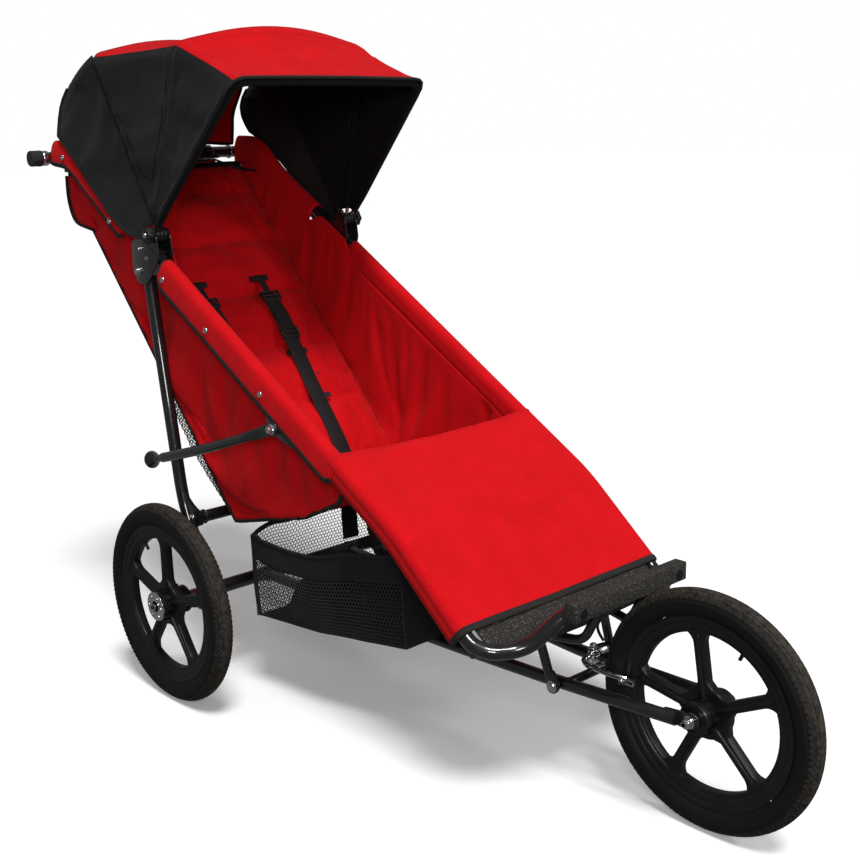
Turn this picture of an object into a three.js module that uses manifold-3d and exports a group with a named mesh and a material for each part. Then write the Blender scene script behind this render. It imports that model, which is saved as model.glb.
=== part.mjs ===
// A three-wheeled jogging stroller: a sling seat hung between two long rails, a folding frame,
// a three-bow canopy and composite 16 inch wheels.
// Millimetres, +Z up, -Y forward. X is across the stroller, Z = 0 is the ground, and Y = 0 is the
// middle of the overall length. Inside the group, Y is measured from the rear axle.
import * as THREE from 'three';
import { mergeVertices } from 'three/addons/utils/BufferGeometryUtils.js';
import Module from 'manifold-3d';

const wasm = await Module();
wasm.setup();

// ---------- driving dimensions ----------
const wheelRadius = 200;            // 16 x 1.75 tyre
const tyreHalfWidth = 23.5;
const rimRadius = 155;              // where the tyre's bead sits
const wheelbase = 1028;
const rearWheelX = 340;             // middle plane of each rear wheel
const railX = 236;                  // middle of each side rail
const tubeRadius = 12.7;            // 1 inch frame tube
const handleY = 525;
const handleZ = 1052;
const gripRadius = 17;
const foldPivotY = -775;            // bolts that join the seat frame to the front fork
const foldPivotZ = 187;
const canopyPivotY = 114;
const canopyPivotZ = 906;
const gap = 0.4;                    // clearance between neighbouring pieces

const axleZ = wheelRadius;
const frontAxleY = -wheelbase;
const frontEnd = frontAxleY - wheelRadius;
const rearEnd = handleY + gripRadius;
const middleOfLength = (frontEnd + rearEnd) / 2;

// Side view of a rail as (y, z): foot end, knee, top bend.
const railFoot = [-742, 298];
const railKnee = [-569, 447];
const railTop = [430, 1049];

// Each bow's angle from straight back, its reach from the canopy pivot, and its place on the pin.
const bows = {
  rear: { angle: 57.4, reach: 404, rise: 30, pinX: railX - 8.5 },
  middle: { angle: 104.6, reach: 355, rise: 25, pinX: railX },
  front: { angle: 134.3, reach: 384, rise: 2, pinX: railX + 8.5 },
};
// The tail of the canopy behind the rear bow: its top edge, then its hem near the rails.
const tailEdge = { angle: 41, reach: 448, rise: 22, pinX: railX - 8 };
const tailHem = { angle: 33, reach: 450, rise: 10, pinX: railX - 8 };
const bowCornerX = 218;
const bowRadius = 4;

// Across the stroller, measured from the middle of a rail.
const cheekInner = 14;              // inner face of a bracket cheek
const cheekOuter = 17;
const eyeInner = 10;                // the upright's eye on the axle tube
const eyeOuter = 12;
const axleTubeEnd = railX + 20;
const strutPlate = railX + 20;      // inner face of the side strut's flat end
const strutX = railX + 29;

// ---------- materials ----------
function material(color, roughness, metalness) {
  return new THREE.MeshStandardMaterial({ color, roughness, metalness });
}
const blackPaint = material(0x141414, 0.35, 0.6);
const blackPlastic = material(0x1a1a1a, 0.45, 0);
const chrome = material(0xd8d8d8, 0.15, 1);
const tyreRubber = material(0x1c1c1c, 0.8, 0);
const foam = material(0x151515, 0.9, 0);
const gripTape = material(0x2a2a2a, 0.95, 0);
const redFabric = material(0xc8101a, 0.85, 0);
const meshFabric = material(0x242424, 0.9, 0);
const webbing = material(0x101010, 0.7, 0);

// ---------- shape helpers ----------

// A line through corners, each rounded by a curve that starts and ends `bend` from the corner.
class BentPath extends THREE.Curve {
  constructor(corners, stepsPerBend = 4) {
    super();
    const places = corners.map(([x, y, z]) => new THREE.Vector3(x, y, z));
    this.samples = [places[0]];
    for (let i = 1; i < places.length - 1; i += 1) {
      const bend = corners[i][3] ?? 0;
      if (bend === 0) {
        this.samples.push(places[i]);
        continue;
      }
      const start = towards(places[i], places[i - 1], bend);
      const end = towards(places[i], places[i + 1], bend);
      const round = new THREE.QuadraticBezierCurve3(start, places[i], end);
      this.samples.push(...round.getPoints(stepsPerBend));
    }
    this.samples.push(places.at(-1));
  }

  get steps() {
    return this.samples.length - 1;
  }

  getPoint(t) {
    const at = Math.min(Math.max(t, 0), 1) * this.steps;
    const i = Math.min(Math.floor(at), this.steps - 1);
    return this.samples[i].clone().lerp(this.samples[i + 1], at - i);
  }

  getPointAt(t) {
    return this.getPoint(t);
  }

  getTangentAt(t) {
    const i = Math.round(t * this.steps);
    const before = this.samples[Math.max(i - 1, 0)];
    const after = this.samples[Math.min(i + 1, this.steps)];
    const here = this.samples[i];
    const into = here.clone().sub(before).normalize();
    const out = after.clone().sub(here).normalize();
    return into.add(out).normalize();
  }
}

function towards(from, to, distance) {
  return from.clone().add(to.clone().sub(from).setLength(distance));
}

function solid(geometry) {
  const bare = geometry.clone();
  bare.deleteAttribute('normal');
  bare.deleteAttribute('uv');
  const merged = mergeVertices(bare, 1e-3);
  return new wasm.Manifold(new wasm.Mesh({
    numProp: 3,
    vertProperties: new Float32Array(merged.attributes.position.array),
    triVerts: new Uint32Array(merged.index.array),
  }));
}

function joined(...solids) {
  return solids.reduce((whole, next) => whole.add(next));
}

function circle(radius, sides) {
  const points = [];
  for (let i = 0; i < sides; i += 1) {
    const turn = (i + 0.5) / sides * 2 * Math.PI;
    points.push(new THREE.Vector2(radius * Math.cos(turn), radius * Math.sin(turn)));
  }
  return new THREE.Shape(points);
}

function tube(corners, radius = tubeRadius, sides = 10, stepsPerBend = 3) {
  const path = new BentPath(corners, stepsPerBend);
  const geometry = new THREE.ExtrudeGeometry(circle(radius, sides), {
    steps: path.steps,
    bevelEnabled: false,
    extrudePath: path,
  });
  return solid(geometry);
}

// A round bar whose axis runs across the stroller, from x1 to x2.
function crossBar(radius, x1, x2, y, z, sides = 16) {
  const geometry = new THREE.CylinderGeometry(radius, radius, Math.abs(x2 - x1), sides);
  geometry.rotateZ(-Math.PI / 2);
  geometry.translate((x1 + x2) / 2, y, z);
  return solid(geometry);
}

// A round bar that stands upright, from z1 to z2.
function post(radius, x, y, z1, z2) {
  const geometry = new THREE.CylinderGeometry(radius, radius, z2 - z1, 12);
  geometry.rotateX(Math.PI / 2);
  geometry.translate(x, y, (z1 + z2) / 2);
  return solid(geometry);
}

function block(xSize, ySize, zSize, x, y, z) {
  const geometry = new THREE.BoxGeometry(xSize, ySize, zSize);
  geometry.translate(x, y, z);
  return solid(geometry);
}

// A flat plate drawn in side view as (y, z) points, running from x1 to x2.
function plate(outline, x1, x2) {
  const shape = new THREE.Shape(outline.map(([y, z]) => new THREE.Vector2(y, z)));
  const geometry = new THREE.ExtrudeGeometry(shape, { depth: Math.abs(x2 - x1), bevelEnabled: false });
  const sideView = new THREE.Matrix4().makeBasis(
    new THREE.Vector3(0, 1, 0),
    new THREE.Vector3(0, 0, 1),
    new THREE.Vector3(1, 0, 0),
  );
  geometry.applyMatrix4(sideView);
  geometry.translate(Math.min(x1, x2), 0, 0);
  return solid(geometry);
}

// A ring turned about the X axis: the profile is (radius, x) points.
function turned(profile, x, y, z, segments) {
  const points = profile.map(([r, along]) => new THREE.Vector2(r, along));
  points.push(points[0].clone());
  const geometry = new THREE.LatheGeometry(points, segments);
  geometry.rotateZ(-Math.PI / 2);
  geometry.translate(x, y, z);
  return solid(geometry);
}

// A thin closed skin over a grid of points; `outward` tells which way it gets its thickness.
function skin(rows, thickness, outward) {
  const rowCount = rows.length;
  const count = rows[0].length;
  const positions = [];
  for (const layer of [0, thickness]) {
    for (const row of rows) {
      for (const point of row) {
        positions.push(...point.clone().addScaledVector(outward(point), layer).toArray());
      }
    }
  }
  const under = (r, c) => r * count + c;
  const over = (r, c) => rowCount * count + under(r, c);
  const faces = [];
  const quad = (a, b, c, d) => faces.push(a, b, c, a, c, d);
  for (let r = 0; r < rowCount - 1; r += 1) {
    for (let c = 0; c < count - 1; c += 1) {
      quad(over(r, c), over(r, c + 1), over(r + 1, c + 1), over(r + 1, c));
      quad(under(r, c), under(r + 1, c), under(r + 1, c + 1), under(r, c + 1));
    }
    quad(under(r, 0), over(r, 0), over(r + 1, 0), under(r + 1, 0));
    quad(over(r, count - 1), under(r, count - 1), under(r + 1, count - 1), over(r + 1, count - 1));
  }
  for (let c = 0; c < count - 1; c += 1) {
    quad(under(0, c), under(0, c + 1), over(0, c + 1), over(0, c));
    const last = rowCount - 1;
    quad(over(last, c), over(last, c + 1), under(last, c + 1), under(last, c));
  }
  const geometry = new THREE.BufferGeometry();
  geometry.setAttribute('position', new THREE.Float32BufferAttribute(positions, 3));
  geometry.setIndex(faces);
  const body = solid(geometry);
  return body.volume() < 0 ? flipped(geometry) : body;
}

function flipped(geometry) {
  geometry.setIndex([...geometry.index.array].reverse());
  return solid(geometry);
}

// ---------- the group ----------
const stroller = new THREE.Group();
stroller.position.y = -middleOfLength;

function add(name, body, look) {
  const { vertProperties, triVerts } = body.getMesh();
  const geometry = new THREE.BufferGeometry();
  geometry.setAttribute('position', new THREE.BufferAttribute(vertProperties, 3));
  geometry.setIndex(new THREE.BufferAttribute(triVerts, 1));
  geometry.computeVertexNormals();
  const mesh = new THREE.Mesh(geometry, look);
  mesh.name = name;
  stroller.add(mesh);
}

// Height of a rail's centre line, and a point set off square to it.
function railZ(y) {
  const [from, to] = y > railKnee[0] ? [railKnee, railTop] : [railFoot, railKnee];
  return from[1] + (y - from[0]) * (to[1] - from[1]) / (to[0] - from[0]);
}

function besideRail(y, offset) {
  const [from, to] = y > railKnee[0] ? [railKnee, railTop] : [railFoot, railKnee];
  const slope = Math.atan2(to[1] - from[1], to[0] - from[0]);
  return [y - offset * Math.sin(slope), railZ(y) + offset * Math.cos(slope)];
}

// ---------- lower frame: axle tube, lower rails, fork ----------
const axleTubeRadius = 14;
const bladeRadius = 11;
const dropoutX = 46;
const bridgeY = -798;

function lowerFrame() {
  let frame = crossBar(axleTubeRadius, -axleTubeEnd, axleTubeEnd, 0, axleZ);
  frame = frame.add(crossBar(8, -64, 64, bridgeY, 196, 12));
  for (const side of [-1, 1]) {
    frame = frame.add(tube([
      [side * 110, 0, axleZ],
      [side * 84, -500, 190, 80],
      [side * 62, -740, foldPivotZ, 60],
      [side * 62, -840, 193, 30],
      [side * 54, frontAxleY + 22, axleZ - 1],
    ], bladeRadius));
    frame = frame.add(plate([
      [frontAxleY + 40, axleZ - 10], [frontAxleY + 40, axleZ + 8],
      [frontAxleY + 6, axleZ + 12], [frontAxleY - 10, axleZ + 8],
      [frontAxleY - 10, axleZ - 9], [frontAxleY + 6, axleZ - 13],
    ], side * dropoutX, side * (dropoutX + 5)));
    frame = frame.add(plate([
      [-14, axleZ - 14], [16, axleZ - 46], [42, axleZ - 48], [54, axleZ - 30], [18, axleZ + 14],
    ], side * (axleTubeEnd - 5), side * (axleTubeEnd - 1)));
  }
  const axleHole = crossBar(5.4, -60, 60, frontAxleY, axleZ);
  add('lower_frame', frame.subtract(axleHole), blackPaint);
}

// ---------- wheels ----------
const frontHubHalf = 40;
const rearHubOuter = 30;             // hub face, outboard of the wheel's middle plane
const rearHubInner = 36;
const spokeCount = 5;
const frontSpokePhase = THREE.MathUtils.degToRad(-9);
const wheelSides = 40;
const spokeThickness = 18;
const rimInnerRadius = 134;

// One spoke in side view, pointing up: wide at the hub, narrow, then flared into the rim.
function spoke(turn) {
  const shape = new THREE.Shape();
  shape.moveTo(-16, 15);
  shape.quadraticCurveTo(-9, 40, -9, 100);
  shape.quadraticCurveTo(-10, 128, -26, rimInnerRadius + 6);
  shape.lineTo(26, rimInnerRadius + 6);
  shape.quadraticCurveTo(10, 128, 9, 100);
  shape.quadraticCurveTo(9, 40, 16, 15);
  const geometry = new THREE.ExtrudeGeometry(shape, {
    depth: spokeThickness,
    bevelEnabled: false,
    curveSegments: 2,
  });
  geometry.translate(0, 0, -spokeThickness / 2);
  geometry.rotateX(Math.PI / 2);
  geometry.rotateZ(Math.PI / 2);
  geometry.rotateX(turn);
  return solid(geometry);
}

function wheel(name, x, y, hubFrom, hubTo, hubRadius, spokePhase = 0) {
  const rim = turned([
    [rimRadius, -12], [rimRadius, 12], [rimRadius - 7, 14], [rimRadius - 15, 11],
    [rimInnerRadius, 8], [rimInnerRadius, -8], [rimRadius - 15, -11], [rimRadius - 7, -14],
  ], 0, 0, 0, wheelSides);
  let body = rim.add(crossBar(hubRadius, hubFrom, hubTo, 0, 0));
  for (let i = 0; i < spokeCount; i += 1) {
    body = body.add(spoke(i / spokeCount * 2 * Math.PI + spokePhase));
  }
  body = body.subtract(crossBar(7, hubFrom - 1, hubTo + 1, 0, 0));
  add(name, body.translate([x, y, axleZ]), blackPlastic);
}

function tyre(name, x, y) {
  const middle = wheelRadius - tyreHalfWidth;
  const profile = [];
  const bead = rimRadius + gap;
  const opening = Math.acos((middle - bead) / tyreHalfWidth);
  const steps = 8;
  for (let i = 0; i <= steps; i += 1) {
    const turn = Math.PI + opening + i / steps * 2 * (Math.PI - opening);
    profile.push([middle + tyreHalfWidth * Math.cos(turn), tyreHalfWidth * Math.sin(turn)]);
  }
  add(name, turned(profile, x, y, axleZ, wheelSides), tyreRubber);
}

function frontWheel() {
  wheel('front_wheel', 0, frontAxleY, -frontHubHalf, frontHubHalf, 25, frontSpokePhase);
  tyre('front_tyre', 0, frontAxleY);
  const axle = joined(
    crossBar(5, -66, 66, frontAxleY, axleZ),
    crossBar(9, 51 + gap, 60, frontAxleY, axleZ, 6),
    crossBar(9, -60, -51 - gap, frontAxleY, axleZ, 6),
  );
  add('front_axle', axle, chrome);
}

// Quick-release stub axle with a push button in its outer end.
function rearWheel(side, name) {
  const ends = [-side * rearHubInner, side * rearHubOuter];
  wheel(`rear_wheel_${name}`, side * rearWheelX, 0, Math.min(...ends), Math.max(...ends), 27);
  tyre(`rear_tyre_${name}`, side * rearWheelX, 0);
  const face = side * (rearWheelX + rearHubOuter + gap);
  const ring = crossBar(29, face, face + side * 4, 0, axleZ, 20)
    .subtract(crossBar(11, face - side, face + side * 5, 0, axleZ));
  add(`hub_ring_${name}`, ring, chrome);
  const stubStart = side * (axleTubeEnd + gap);
  const stubEnd = rearWheelX + rearHubOuter + 8;
  const stub = joined(
    crossBar(6, stubStart, side * stubEnd, 0, axleZ, 12),
    crossBar(13, stubStart, side * (rearWheelX - rearHubInner - 1), 0, axleZ),
  ).subtract(crossBar(4.6, side * (stubEnd - 12), side * (stubEnd + 1), 0, axleZ, 12));
  add(`rear_axle_${name}`, stub, chrome);
  const button = crossBar(4, side * (stubEnd - 8), side * (stubEnd + 4), 0, axleZ, 12);
  add(`release_button_${name}`, button, blackPlastic);
}

function parkingLever(side, name) {
  const y = 34;
  const z = axleZ - 34;
  const lever = plate([
    [y - 10, z + 8], [y + 8, z + 10], [y + 62, z - 12], [y + 66, z - 26], [y + 4, z - 10],
  ], side * (axleTubeEnd - 1 + gap), side * (axleTubeEnd + 4))
    .add(block(18, 12, 16, side * (axleTubeEnd + 10), y + 60, z - 18))
    .add(crossBar(7, side * (axleTubeEnd - 1 + gap), side * (axleTubeEnd + 10), y, z, 12));
  add(`parking_lever_${name}`, lever, blackPlastic);
}

// ---------- front brake ----------
const caliperZ = 222;

function caliper() {
  const postY = bridgeY + 3;
  const mount = block(26, 24, 5, 0, bridgeY, 208).add(post(4, 0, postY, 209, caliperZ + 24));
  add('caliper_mount', mount, chrome);
  for (const side of [-1, 1]) {
    const z = side < 0 ? caliperZ : caliperZ + 10;
    const eye = post(9, 0, postY, z - 4, z + 4).subtract(post(4.7, 0, postY, z - 6, z + 6));
    const arm = joined(
      eye,
      tube([
        [side * 8, bridgeY, z],
        [side * 36, bridgeY - 4, z, 14],
        [side * 38, bridgeY - 62, z, 14],
        [side * 27, bridgeY - 88, caliperZ - 4],
      ], 4, 8),
      block(7, 26, 9, side * 20.5, bridgeY - 86, caliperZ - 10),
      crossBar(3.4, side * 18, side * 34, bridgeY - 84, caliperZ - 7, 8),
    );
    add(side < 0 ? 'caliper_arm_right' : 'caliper_arm_left', arm, chrome);
  }
}

// ---------- rear uprights: swing on the axle tube ----------
const uprightTop = [162, 822];
const uprightBend = [92, 342];
const crossTubeY = 40;
const crossTubeZ = 342;

function rearUprights() {
  let frame = crossBar(12, -railX, railX, crossTubeY, crossTubeZ, 12);
  for (const side of [-1, 1]) {
    const x = side * railX;
    frame = frame.add(tube([[x, 5, 214], [x, ...uprightBend, 70], [x, ...uprightTop]]));
    frame = frame.add(crossBar(20, side * (railX - eyeInner), side * (railX + eyeOuter), 0, axleZ));
    frame = frame.add(plate([
      [102, 405], [88, 326], [56, 318], [30, 328], [28, 352], [66, 366],
    ], x - 4, x + 4));
  }
  for (const side of [-1, 1]) {
    const bore = crossBar(
      axleTubeRadius + 0.8,
      side * (railX - eyeInner - 2),
      side * (railX + eyeOuter + 2),
      0,
      axleZ,
    );
    frame = frame.subtract(bore);
  }
  add('rear_uprights', frame, blackPaint);
}

// ---------- side struts ----------
const strutPivot = [-265, 579];
const strutEnd = [166, 446];
const strutTabOuter = strutPlate - 4;

function sideStrut(side, name) {
  const [y1, z1] = strutPivot;
  const [y2, z2] = strutEnd;
  const pointAt = (part) => [y1 + (y2 - y1) * part, z1 + (z2 - z1) * part];
  const [flatY, flatZ] = pointAt(0.16);
  const pitch = Math.atan2(z2 - z1, y2 - y1);
  const lean = [-Math.sin(pitch) * 10, Math.cos(pitch) * 10];
  const flatEnd = plate([
    [y1 - lean[0], z1 - lean[1]], [flatY - lean[0], flatZ - lean[1]],
    [flatY + lean[0], flatZ + lean[1]], [y1 + lean[0], z1 + lean[1]],
  ], side * strutPlate, side * (strutPlate + 5));
  const barAt = (part) => [side * strutX, ...pointAt(part)];
  const bar = tube([barAt(0.1), barAt(0.93)], 10);
  const neck = tube([barAt(0.92), barAt(0.97)], 6.5);
  const cap = tube([barAt(0.965), barAt(1)], 16, 8);
  const eye = crossBar(14, side * strutPlate, side * (strutPlate + 5), y1, z1);
  const hole = crossBar(5.6, side * (strutPlate - 2), side * (strutPlate + 7), y1, z1);
  add(`side_strut_${name}`, joined(flatEnd, eye, bar, neck, cap).subtract(hole), blackPaint);
  const bolt = crossBar(5, side * (strutTabOuter + gap), side * (strutPlate + 6), y1, z1, 12)
    .add(crossBar(9, side * (strutPlate + 5 + gap), side * (strutPlate + 12), y1, z1, 6));
  add(`strut_bolt_${name}`, bolt, chrome);
}

// ---------- seat frame: rails, footrest loop, handle posts ----------
const handleHalf = 286;
const footLoop = [[222, -770, 289, 13], [174, -802, 289, 22], [133, -843.5, 345]];
// The dished foot plate from back to front: half width, y and z.
const footPlate = [
  [214, -731, 316], [207, -748, 299], [198, -764, 291], [152, -798, 288], [132, -822, 313], [112, -842, 340],
];
const toeBarY = -866;
const toeBarZ = 359;
const toeBarLength = 286;
const toeBarHeight = 32;

function mainFrame() {
  let frame = crossBar(9, -railX, railX, -742, 284, 12)
    .add(crossBar(tubeRadius, -handleHalf, handleHalf, handleY, handleZ, 12));
  for (const side of [-1, 1]) {
    frame = frame.add(tube([
      [side * railX, handleY, handleZ],
      [side * railX, ...railTop, 35],
      [side * railX, ...railKnee, 110],
      [side * railX, ...railFoot, 14],
      ...footLoop.map(([x, ...rest]) => [side * x, ...rest]),
    ]));
    frame = frame.add(tube([[side * 84, -742, 284], [side * 80, -766, 208]], 8, 10));
    frame = frame.add(plate([[-774, 174], [-764, 176], [-755, 212], [-776, 212]], side * 76, side * 82));
    frame = frame.add(crossBar(14, side * 76, side * 82, foldPivotY, foldPivotZ));
    frame = frame.add(plate([
      besideRail(-342, -8), besideRail(-228, -8), [-243, 570], [-273, 562], [-328, 546],
    ], side * (railX + 8), side * strutTabOuter));
  }
  for (const side of [-1, 1]) {
    frame = frame.subtract(crossBar(5.6, side * 74, side * 84, foldPivotY, foldPivotZ));
  }
  add('main_frame', frame, blackPaint);
}

function footrest() {
  const rows = footPlate.map(([half, y, z]) => [-half, half].map((x) => new THREE.Vector3(x, y, z)));
  const up = new THREE.Vector3(0, 0.5, 0.86);
  add('foot_plate', skin(rows, 3, () => up), gripTape);
  let bar = block(toeBarLength, 24, toeBarHeight, 0, toeBarY, toeBarZ);
  for (const side of [-1, 1]) {
    const x = side * (toeBarLength / 2 - 12);
    bar = bar.subtract(post(6, x, toeBarY, toeBarZ - toeBarHeight, toeBarZ + toeBarHeight));
  }
  add('toe_bar', bar, gripTape);
}

function foldBolts() {
  for (const [side, name] of [[-1, 'right'], [1, 'left']]) {
    const bolt = crossBar(5, side * 74, side * 88, foldPivotY, foldPivotZ)
      .add(crossBar(8.5, side * (82 + gap), side * 89, foldPivotY, foldPivotZ, 6));
    add(`fold_bolt_${name}`, bolt, chrome);
  }
}

// Saddle over the rail whose two cheeks hold the upright's top end and the canopy pin.
function railBracket(side, name) {
  const cheek = [
    [100, 906], [105, 918], [123, 918], [130, 906], [192, 890], [194, 832],
    [176, 808], [144, 808], [112, 838], [92, 862],
  ];
  const saddle = plate([
    besideRail(112, 13.4), besideRail(158, 13.4), besideRail(158, 17), besideRail(112, 17),
  ], side * (railX - cheekOuter), side * (railX + cheekOuter));
  const bracket = joined(
    plate(cheek, side * (railX - cheekOuter), side * (railX - cheekInner)),
    plate(cheek, side * (railX + cheekInner), side * (railX + cheekOuter)),
    saddle,
  ).subtract(crossBar(5, side * (railX - 20), side * (railX + 20), canopyPivotY, canopyPivotZ, 12));
  add(`rail_bracket_${name}`, bracket, blackPaint);
  const knobStart = railX + cheekOuter + gap;
  const pin = crossBar(4.4, side * (railX - 19), side * knobStart, canopyPivotY, canopyPivotZ, 12)
    .add(crossBar(17, side * knobStart, side * (knobStart + 15), canopyPivotY, canopyPivotZ, 10));
  add(`canopy_knob_${name}`, pin, blackPlastic);
}

const leverClampX = 150;

function handle() {
  const bore = (x1, x2) => crossBar(tubeRadius + gap, x1, x2, handleY, handleZ, 12);
  for (const [side, name] of [[-1, 'right'], [1, 'left']]) {
    const start = side * (railX + 18);
    const sleeve = crossBar(gripRadius, start, side * (handleHalf + 6), handleY, handleZ, 14)
      .subtract(bore(start - side, side * (handleHalf + 1)));
    add(`grip_end_${name}`, sleeve, foam);
  }
  const gripStart = 18 - railX;
  const gripEnd = leverClampX - 15;
  const grip = crossBar(gripRadius, gripStart, gripEnd, handleY, handleZ, 14)
    .subtract(bore(gripStart - 1, gripEnd + 1));
  add('handle_grip', grip, foam);
  const clamp = crossBar(gripRadius, leverClampX - 12, leverClampX + 12, handleY, handleZ, 14)
    .add(block(20, 30, 9, leverClampX, handleY - 26, handleZ - 9))
    .subtract(bore(leverClampX - 13, leverClampX + 13));
  add('brake_lever_clamp', clamp, blackPaint);
  const lever = tube([
    [leverClampX, handleY - 34, handleZ - 20],
    [leverClampX - 20, handleY - 46, handleZ - 20, 10],
    [leverClampX - 110, handleY - 42, handleZ - 20, 20],
    [leverClampX - 136, handleY - 46, handleZ - 20],
  ], 5, 8);
  add('brake_lever', lever, chrome);
}

// ---------- canopy ----------

// A bow's centre line at an angle from straight back, `out` further from the pivot.
function bowCorners({ angle, reach, rise, pinX }, out, legStart) {
  const turn = THREE.MathUtils.degToRad(angle);
  const at = (x, r, bend) => [
    x,
    canopyPivotY + r * Math.cos(turn),
    canopyPivotZ + r * Math.sin(turn),
    bend,
  ];
  const corner = bowCornerX + out;
  return [
    at(-pinX - out / 2, legStart, 0),
    at(-pinX - out / 2, 66, 8),
    at(-corner, reach + out, 26),
    at(0, reach + out + 2 * rise, 150),
    at(corner, reach + out, 26),
    at(pinX + out / 2, 66, 8),
    at(pinX + out / 2, legStart, 0),
  ];
}

function canopyBow(name, bow) {
  let body = tube(bowCorners(bow, 0, 10), bowRadius, 6);
  for (const side of [-1, 1]) {
    const from = side * (bow.pinX - 2.6);
    const to = side * (bow.pinX + 2.6);
    body = body.add(crossBar(12, from, to, canopyPivotY, canopyPivotZ, 12));
  }
  for (const side of [-1, 1]) {
    const from = side * (bow.pinX - 5);
    const to = side * (bow.pinX + 5);
    body = body.subtract(crossBar(5, from, to, canopyPivotY, canopyPivotZ, 12));
  }
  add(`canopy_bow_${name}`, body, chrome);
}

function fromPivot(point) {
  const out = new THREE.Vector3(0, point.y - canopyPivotY, point.z - canopyPivotZ).normalize();
  out.x = point.x / 400;
  return out.normalize();
}

// A sheet of fabric pulled straight from each bow shape to the next, in `steps` strips.
function canopyPanel(name, shapes, steps, look) {
  const clearOfBow = 8.6;
  const edges = shapes.map((shape) => new BentPath(bowCorners(shape, clearOfBow, 62), 3).samples);
  const rows = [edges[0]];
  for (let i = 1; i < edges.length; i += 1) {
    for (let step = 1; step <= steps; step += 1) {
      rows.push(edges[i].map((point, k) => edges[i - 1][k].clone().lerp(point, step / steps)));
    }
  }
  add(name, skin(rows, 2, fromPivot), look);
}

function canopy() {
  const { rear, middle, front } = bows;
  for (const [name, bow] of Object.entries(bows)) {
    canopyBow(name, bow);
  }
  const seam = 0.6;
  const swung = (bow, degrees) => ({ ...bow, angle: bow.angle + degrees });
  canopyPanel('canopy_tail', [tailHem, tailEdge, swung(rear, -seam)], 2, redFabric);
  canopyPanel('canopy_rear_panel', [swung(rear, seam), swung(middle, -seam)], 4, redFabric);
  canopyPanel('canopy_front_panel', [swung(middle, seam), front], 3, redFabric);
}

// ---------- fabric seat ----------
const backBottom = [-66, 386];
const backTop = [482, 1014];
const seatFloor = [[-165, 398], [-288, 420], [-392, 460], [-424, 508]];
const sideX = railX - 21;

function strip(points, thickness, halfWidth) {
  const over = points.map(([y, z]) => [y, z + thickness]).reverse();
  return plate([...points, ...over], -halfWidth, halfWidth);
}

function seat() {
  add('seat_back', strip([backBottom, backTop], 7, sideX - 2), redFabric);
  add('seat_base', strip([...seatFloor].reverse().concat([[-76, 380]]), 5, sideX - 2), redFabric);
  const side = [
    backTop,
    [-70, 374],
    ...seatFloor,
    ...[-420, -300, 0, 300, 425].map((y) => besideRail(y, -4)),
  ];
  for (const [direction, name] of [[-1, 'right'], [1, 'left']]) {
    add(`seat_side_${name}`, plate(side, direction * sideX, direction * (sideX + 3)), redFabric);
  }
}

function legPanel() {
  const along = [-418, -490, railKnee[0], -660, -730];
  const near = along.map((y) => besideRail(y, 14.5));
  const far = along.map((y) => besideRail(y, 18)).reverse();
  const halfWidth = railX + 14;
  add('leg_panel', plate([...near, ...far], -halfWidth, halfWidth), redFabric);
}

// The pocket behind the top of the seat back: a sheet that drops from the handle, then runs forward.
function backPocket() {
  const outside = [[500, 1026], [500, 962], [478, 916], [404, 902]];
  const inside = [[404, 905], [475, 919], [497, 963], [497, 1026]];
  const halfWidth = railX - 16;
  add('back_pocket', plate([...outside, ...inside], -halfWidth, halfWidth), redFabric);
}

function harness() {
  const slope = Math.atan2(backTop[1] - backBottom[1], backTop[0] - backBottom[0]);
  const onBack = (part, proud) => [
    backBottom[0] + (backTop[0] - backBottom[0]) * part - proud * Math.sin(slope),
    backBottom[1] + (backTop[1] - backBottom[1]) * part + proud * Math.cos(slope),
  ];
  for (const [side, name] of [[-1, 'right'], [1, 'left']]) {
    const strap = plate([
      onBack(0.16, 8), onBack(0.62, 8), onBack(0.62, 11), onBack(0.16, 11),
    ], side * 58, side * 86);
    add(`harness_strap_${name}`, strap, webbing);
  }
  add('harness_buckle', block(46, 22, 34, 0, -190, 438), blackPlastic);
}

// ---------- basket ----------
function basket() {
  const outline = (half, top, floor, rise) => [
    [-half, top], [-half + 4, floor], [-half + 34, floor - 4], [-128, floor],
    [-122, rise], [122, rise], [128, floor], [half - 34, floor - 4],
    [half - 4, floor], [half, top],
  ];
  const stations = [
    { y: -116, half: 212, top: 328, floor: 172, rise: 217 },
    { y: -300, half: 206, top: 345, floor: 182, rise: 212 },
    { y: -500, half: 170, top: 368, floor: 196, rise: 210 },
  ];
  const rows = stations.map(({ y, half, top, floor, rise }) => (
    outline(half, top, floor, rise).map(([x, z]) => new THREE.Vector3(x, y, z))
  ));
  const inward = (point) => new THREE.Vector3(-Math.sign(point.x), 0, 1).normalize();
  let bag = skin(rows, 3, inward);
  for (const { y, half, top, floor, rise } of [stations[0], stations[2]]) {
    const wall = new THREE.Shape(outline(half - 0.5, top, floor + 0.5, rise + 0.5)
      .map(([x, z]) => new THREE.Vector2(x, z)));
    const geometry = new THREE.ExtrudeGeometry(wall, { depth: 3, bevelEnabled: false });
    geometry.rotateX(Math.PI / 2);
    geometry.translate(0, y < -200 ? y + 3 : y, 0);
    bag = bag.add(solid(geometry));
  }
  add('basket', bag, meshFabric);
}

// ---------- assembly ----------
lowerFrame();
frontWheel();
rearWheel(-1, 'right');
rearWheel(1, 'left');
parkingLever(-1, 'right');
parkingLever(1, 'left');
caliper();
rearUprights();
sideStrut(-1, 'right');
sideStrut(1, 'left');
mainFrame();
footrest();
foldBolts();
railBracket(-1, 'right');
railBracket(1, 'left');
handle();
canopy();
seat();
legPanel();
backPocket();
harness();
basket();

export default stroller;
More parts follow.
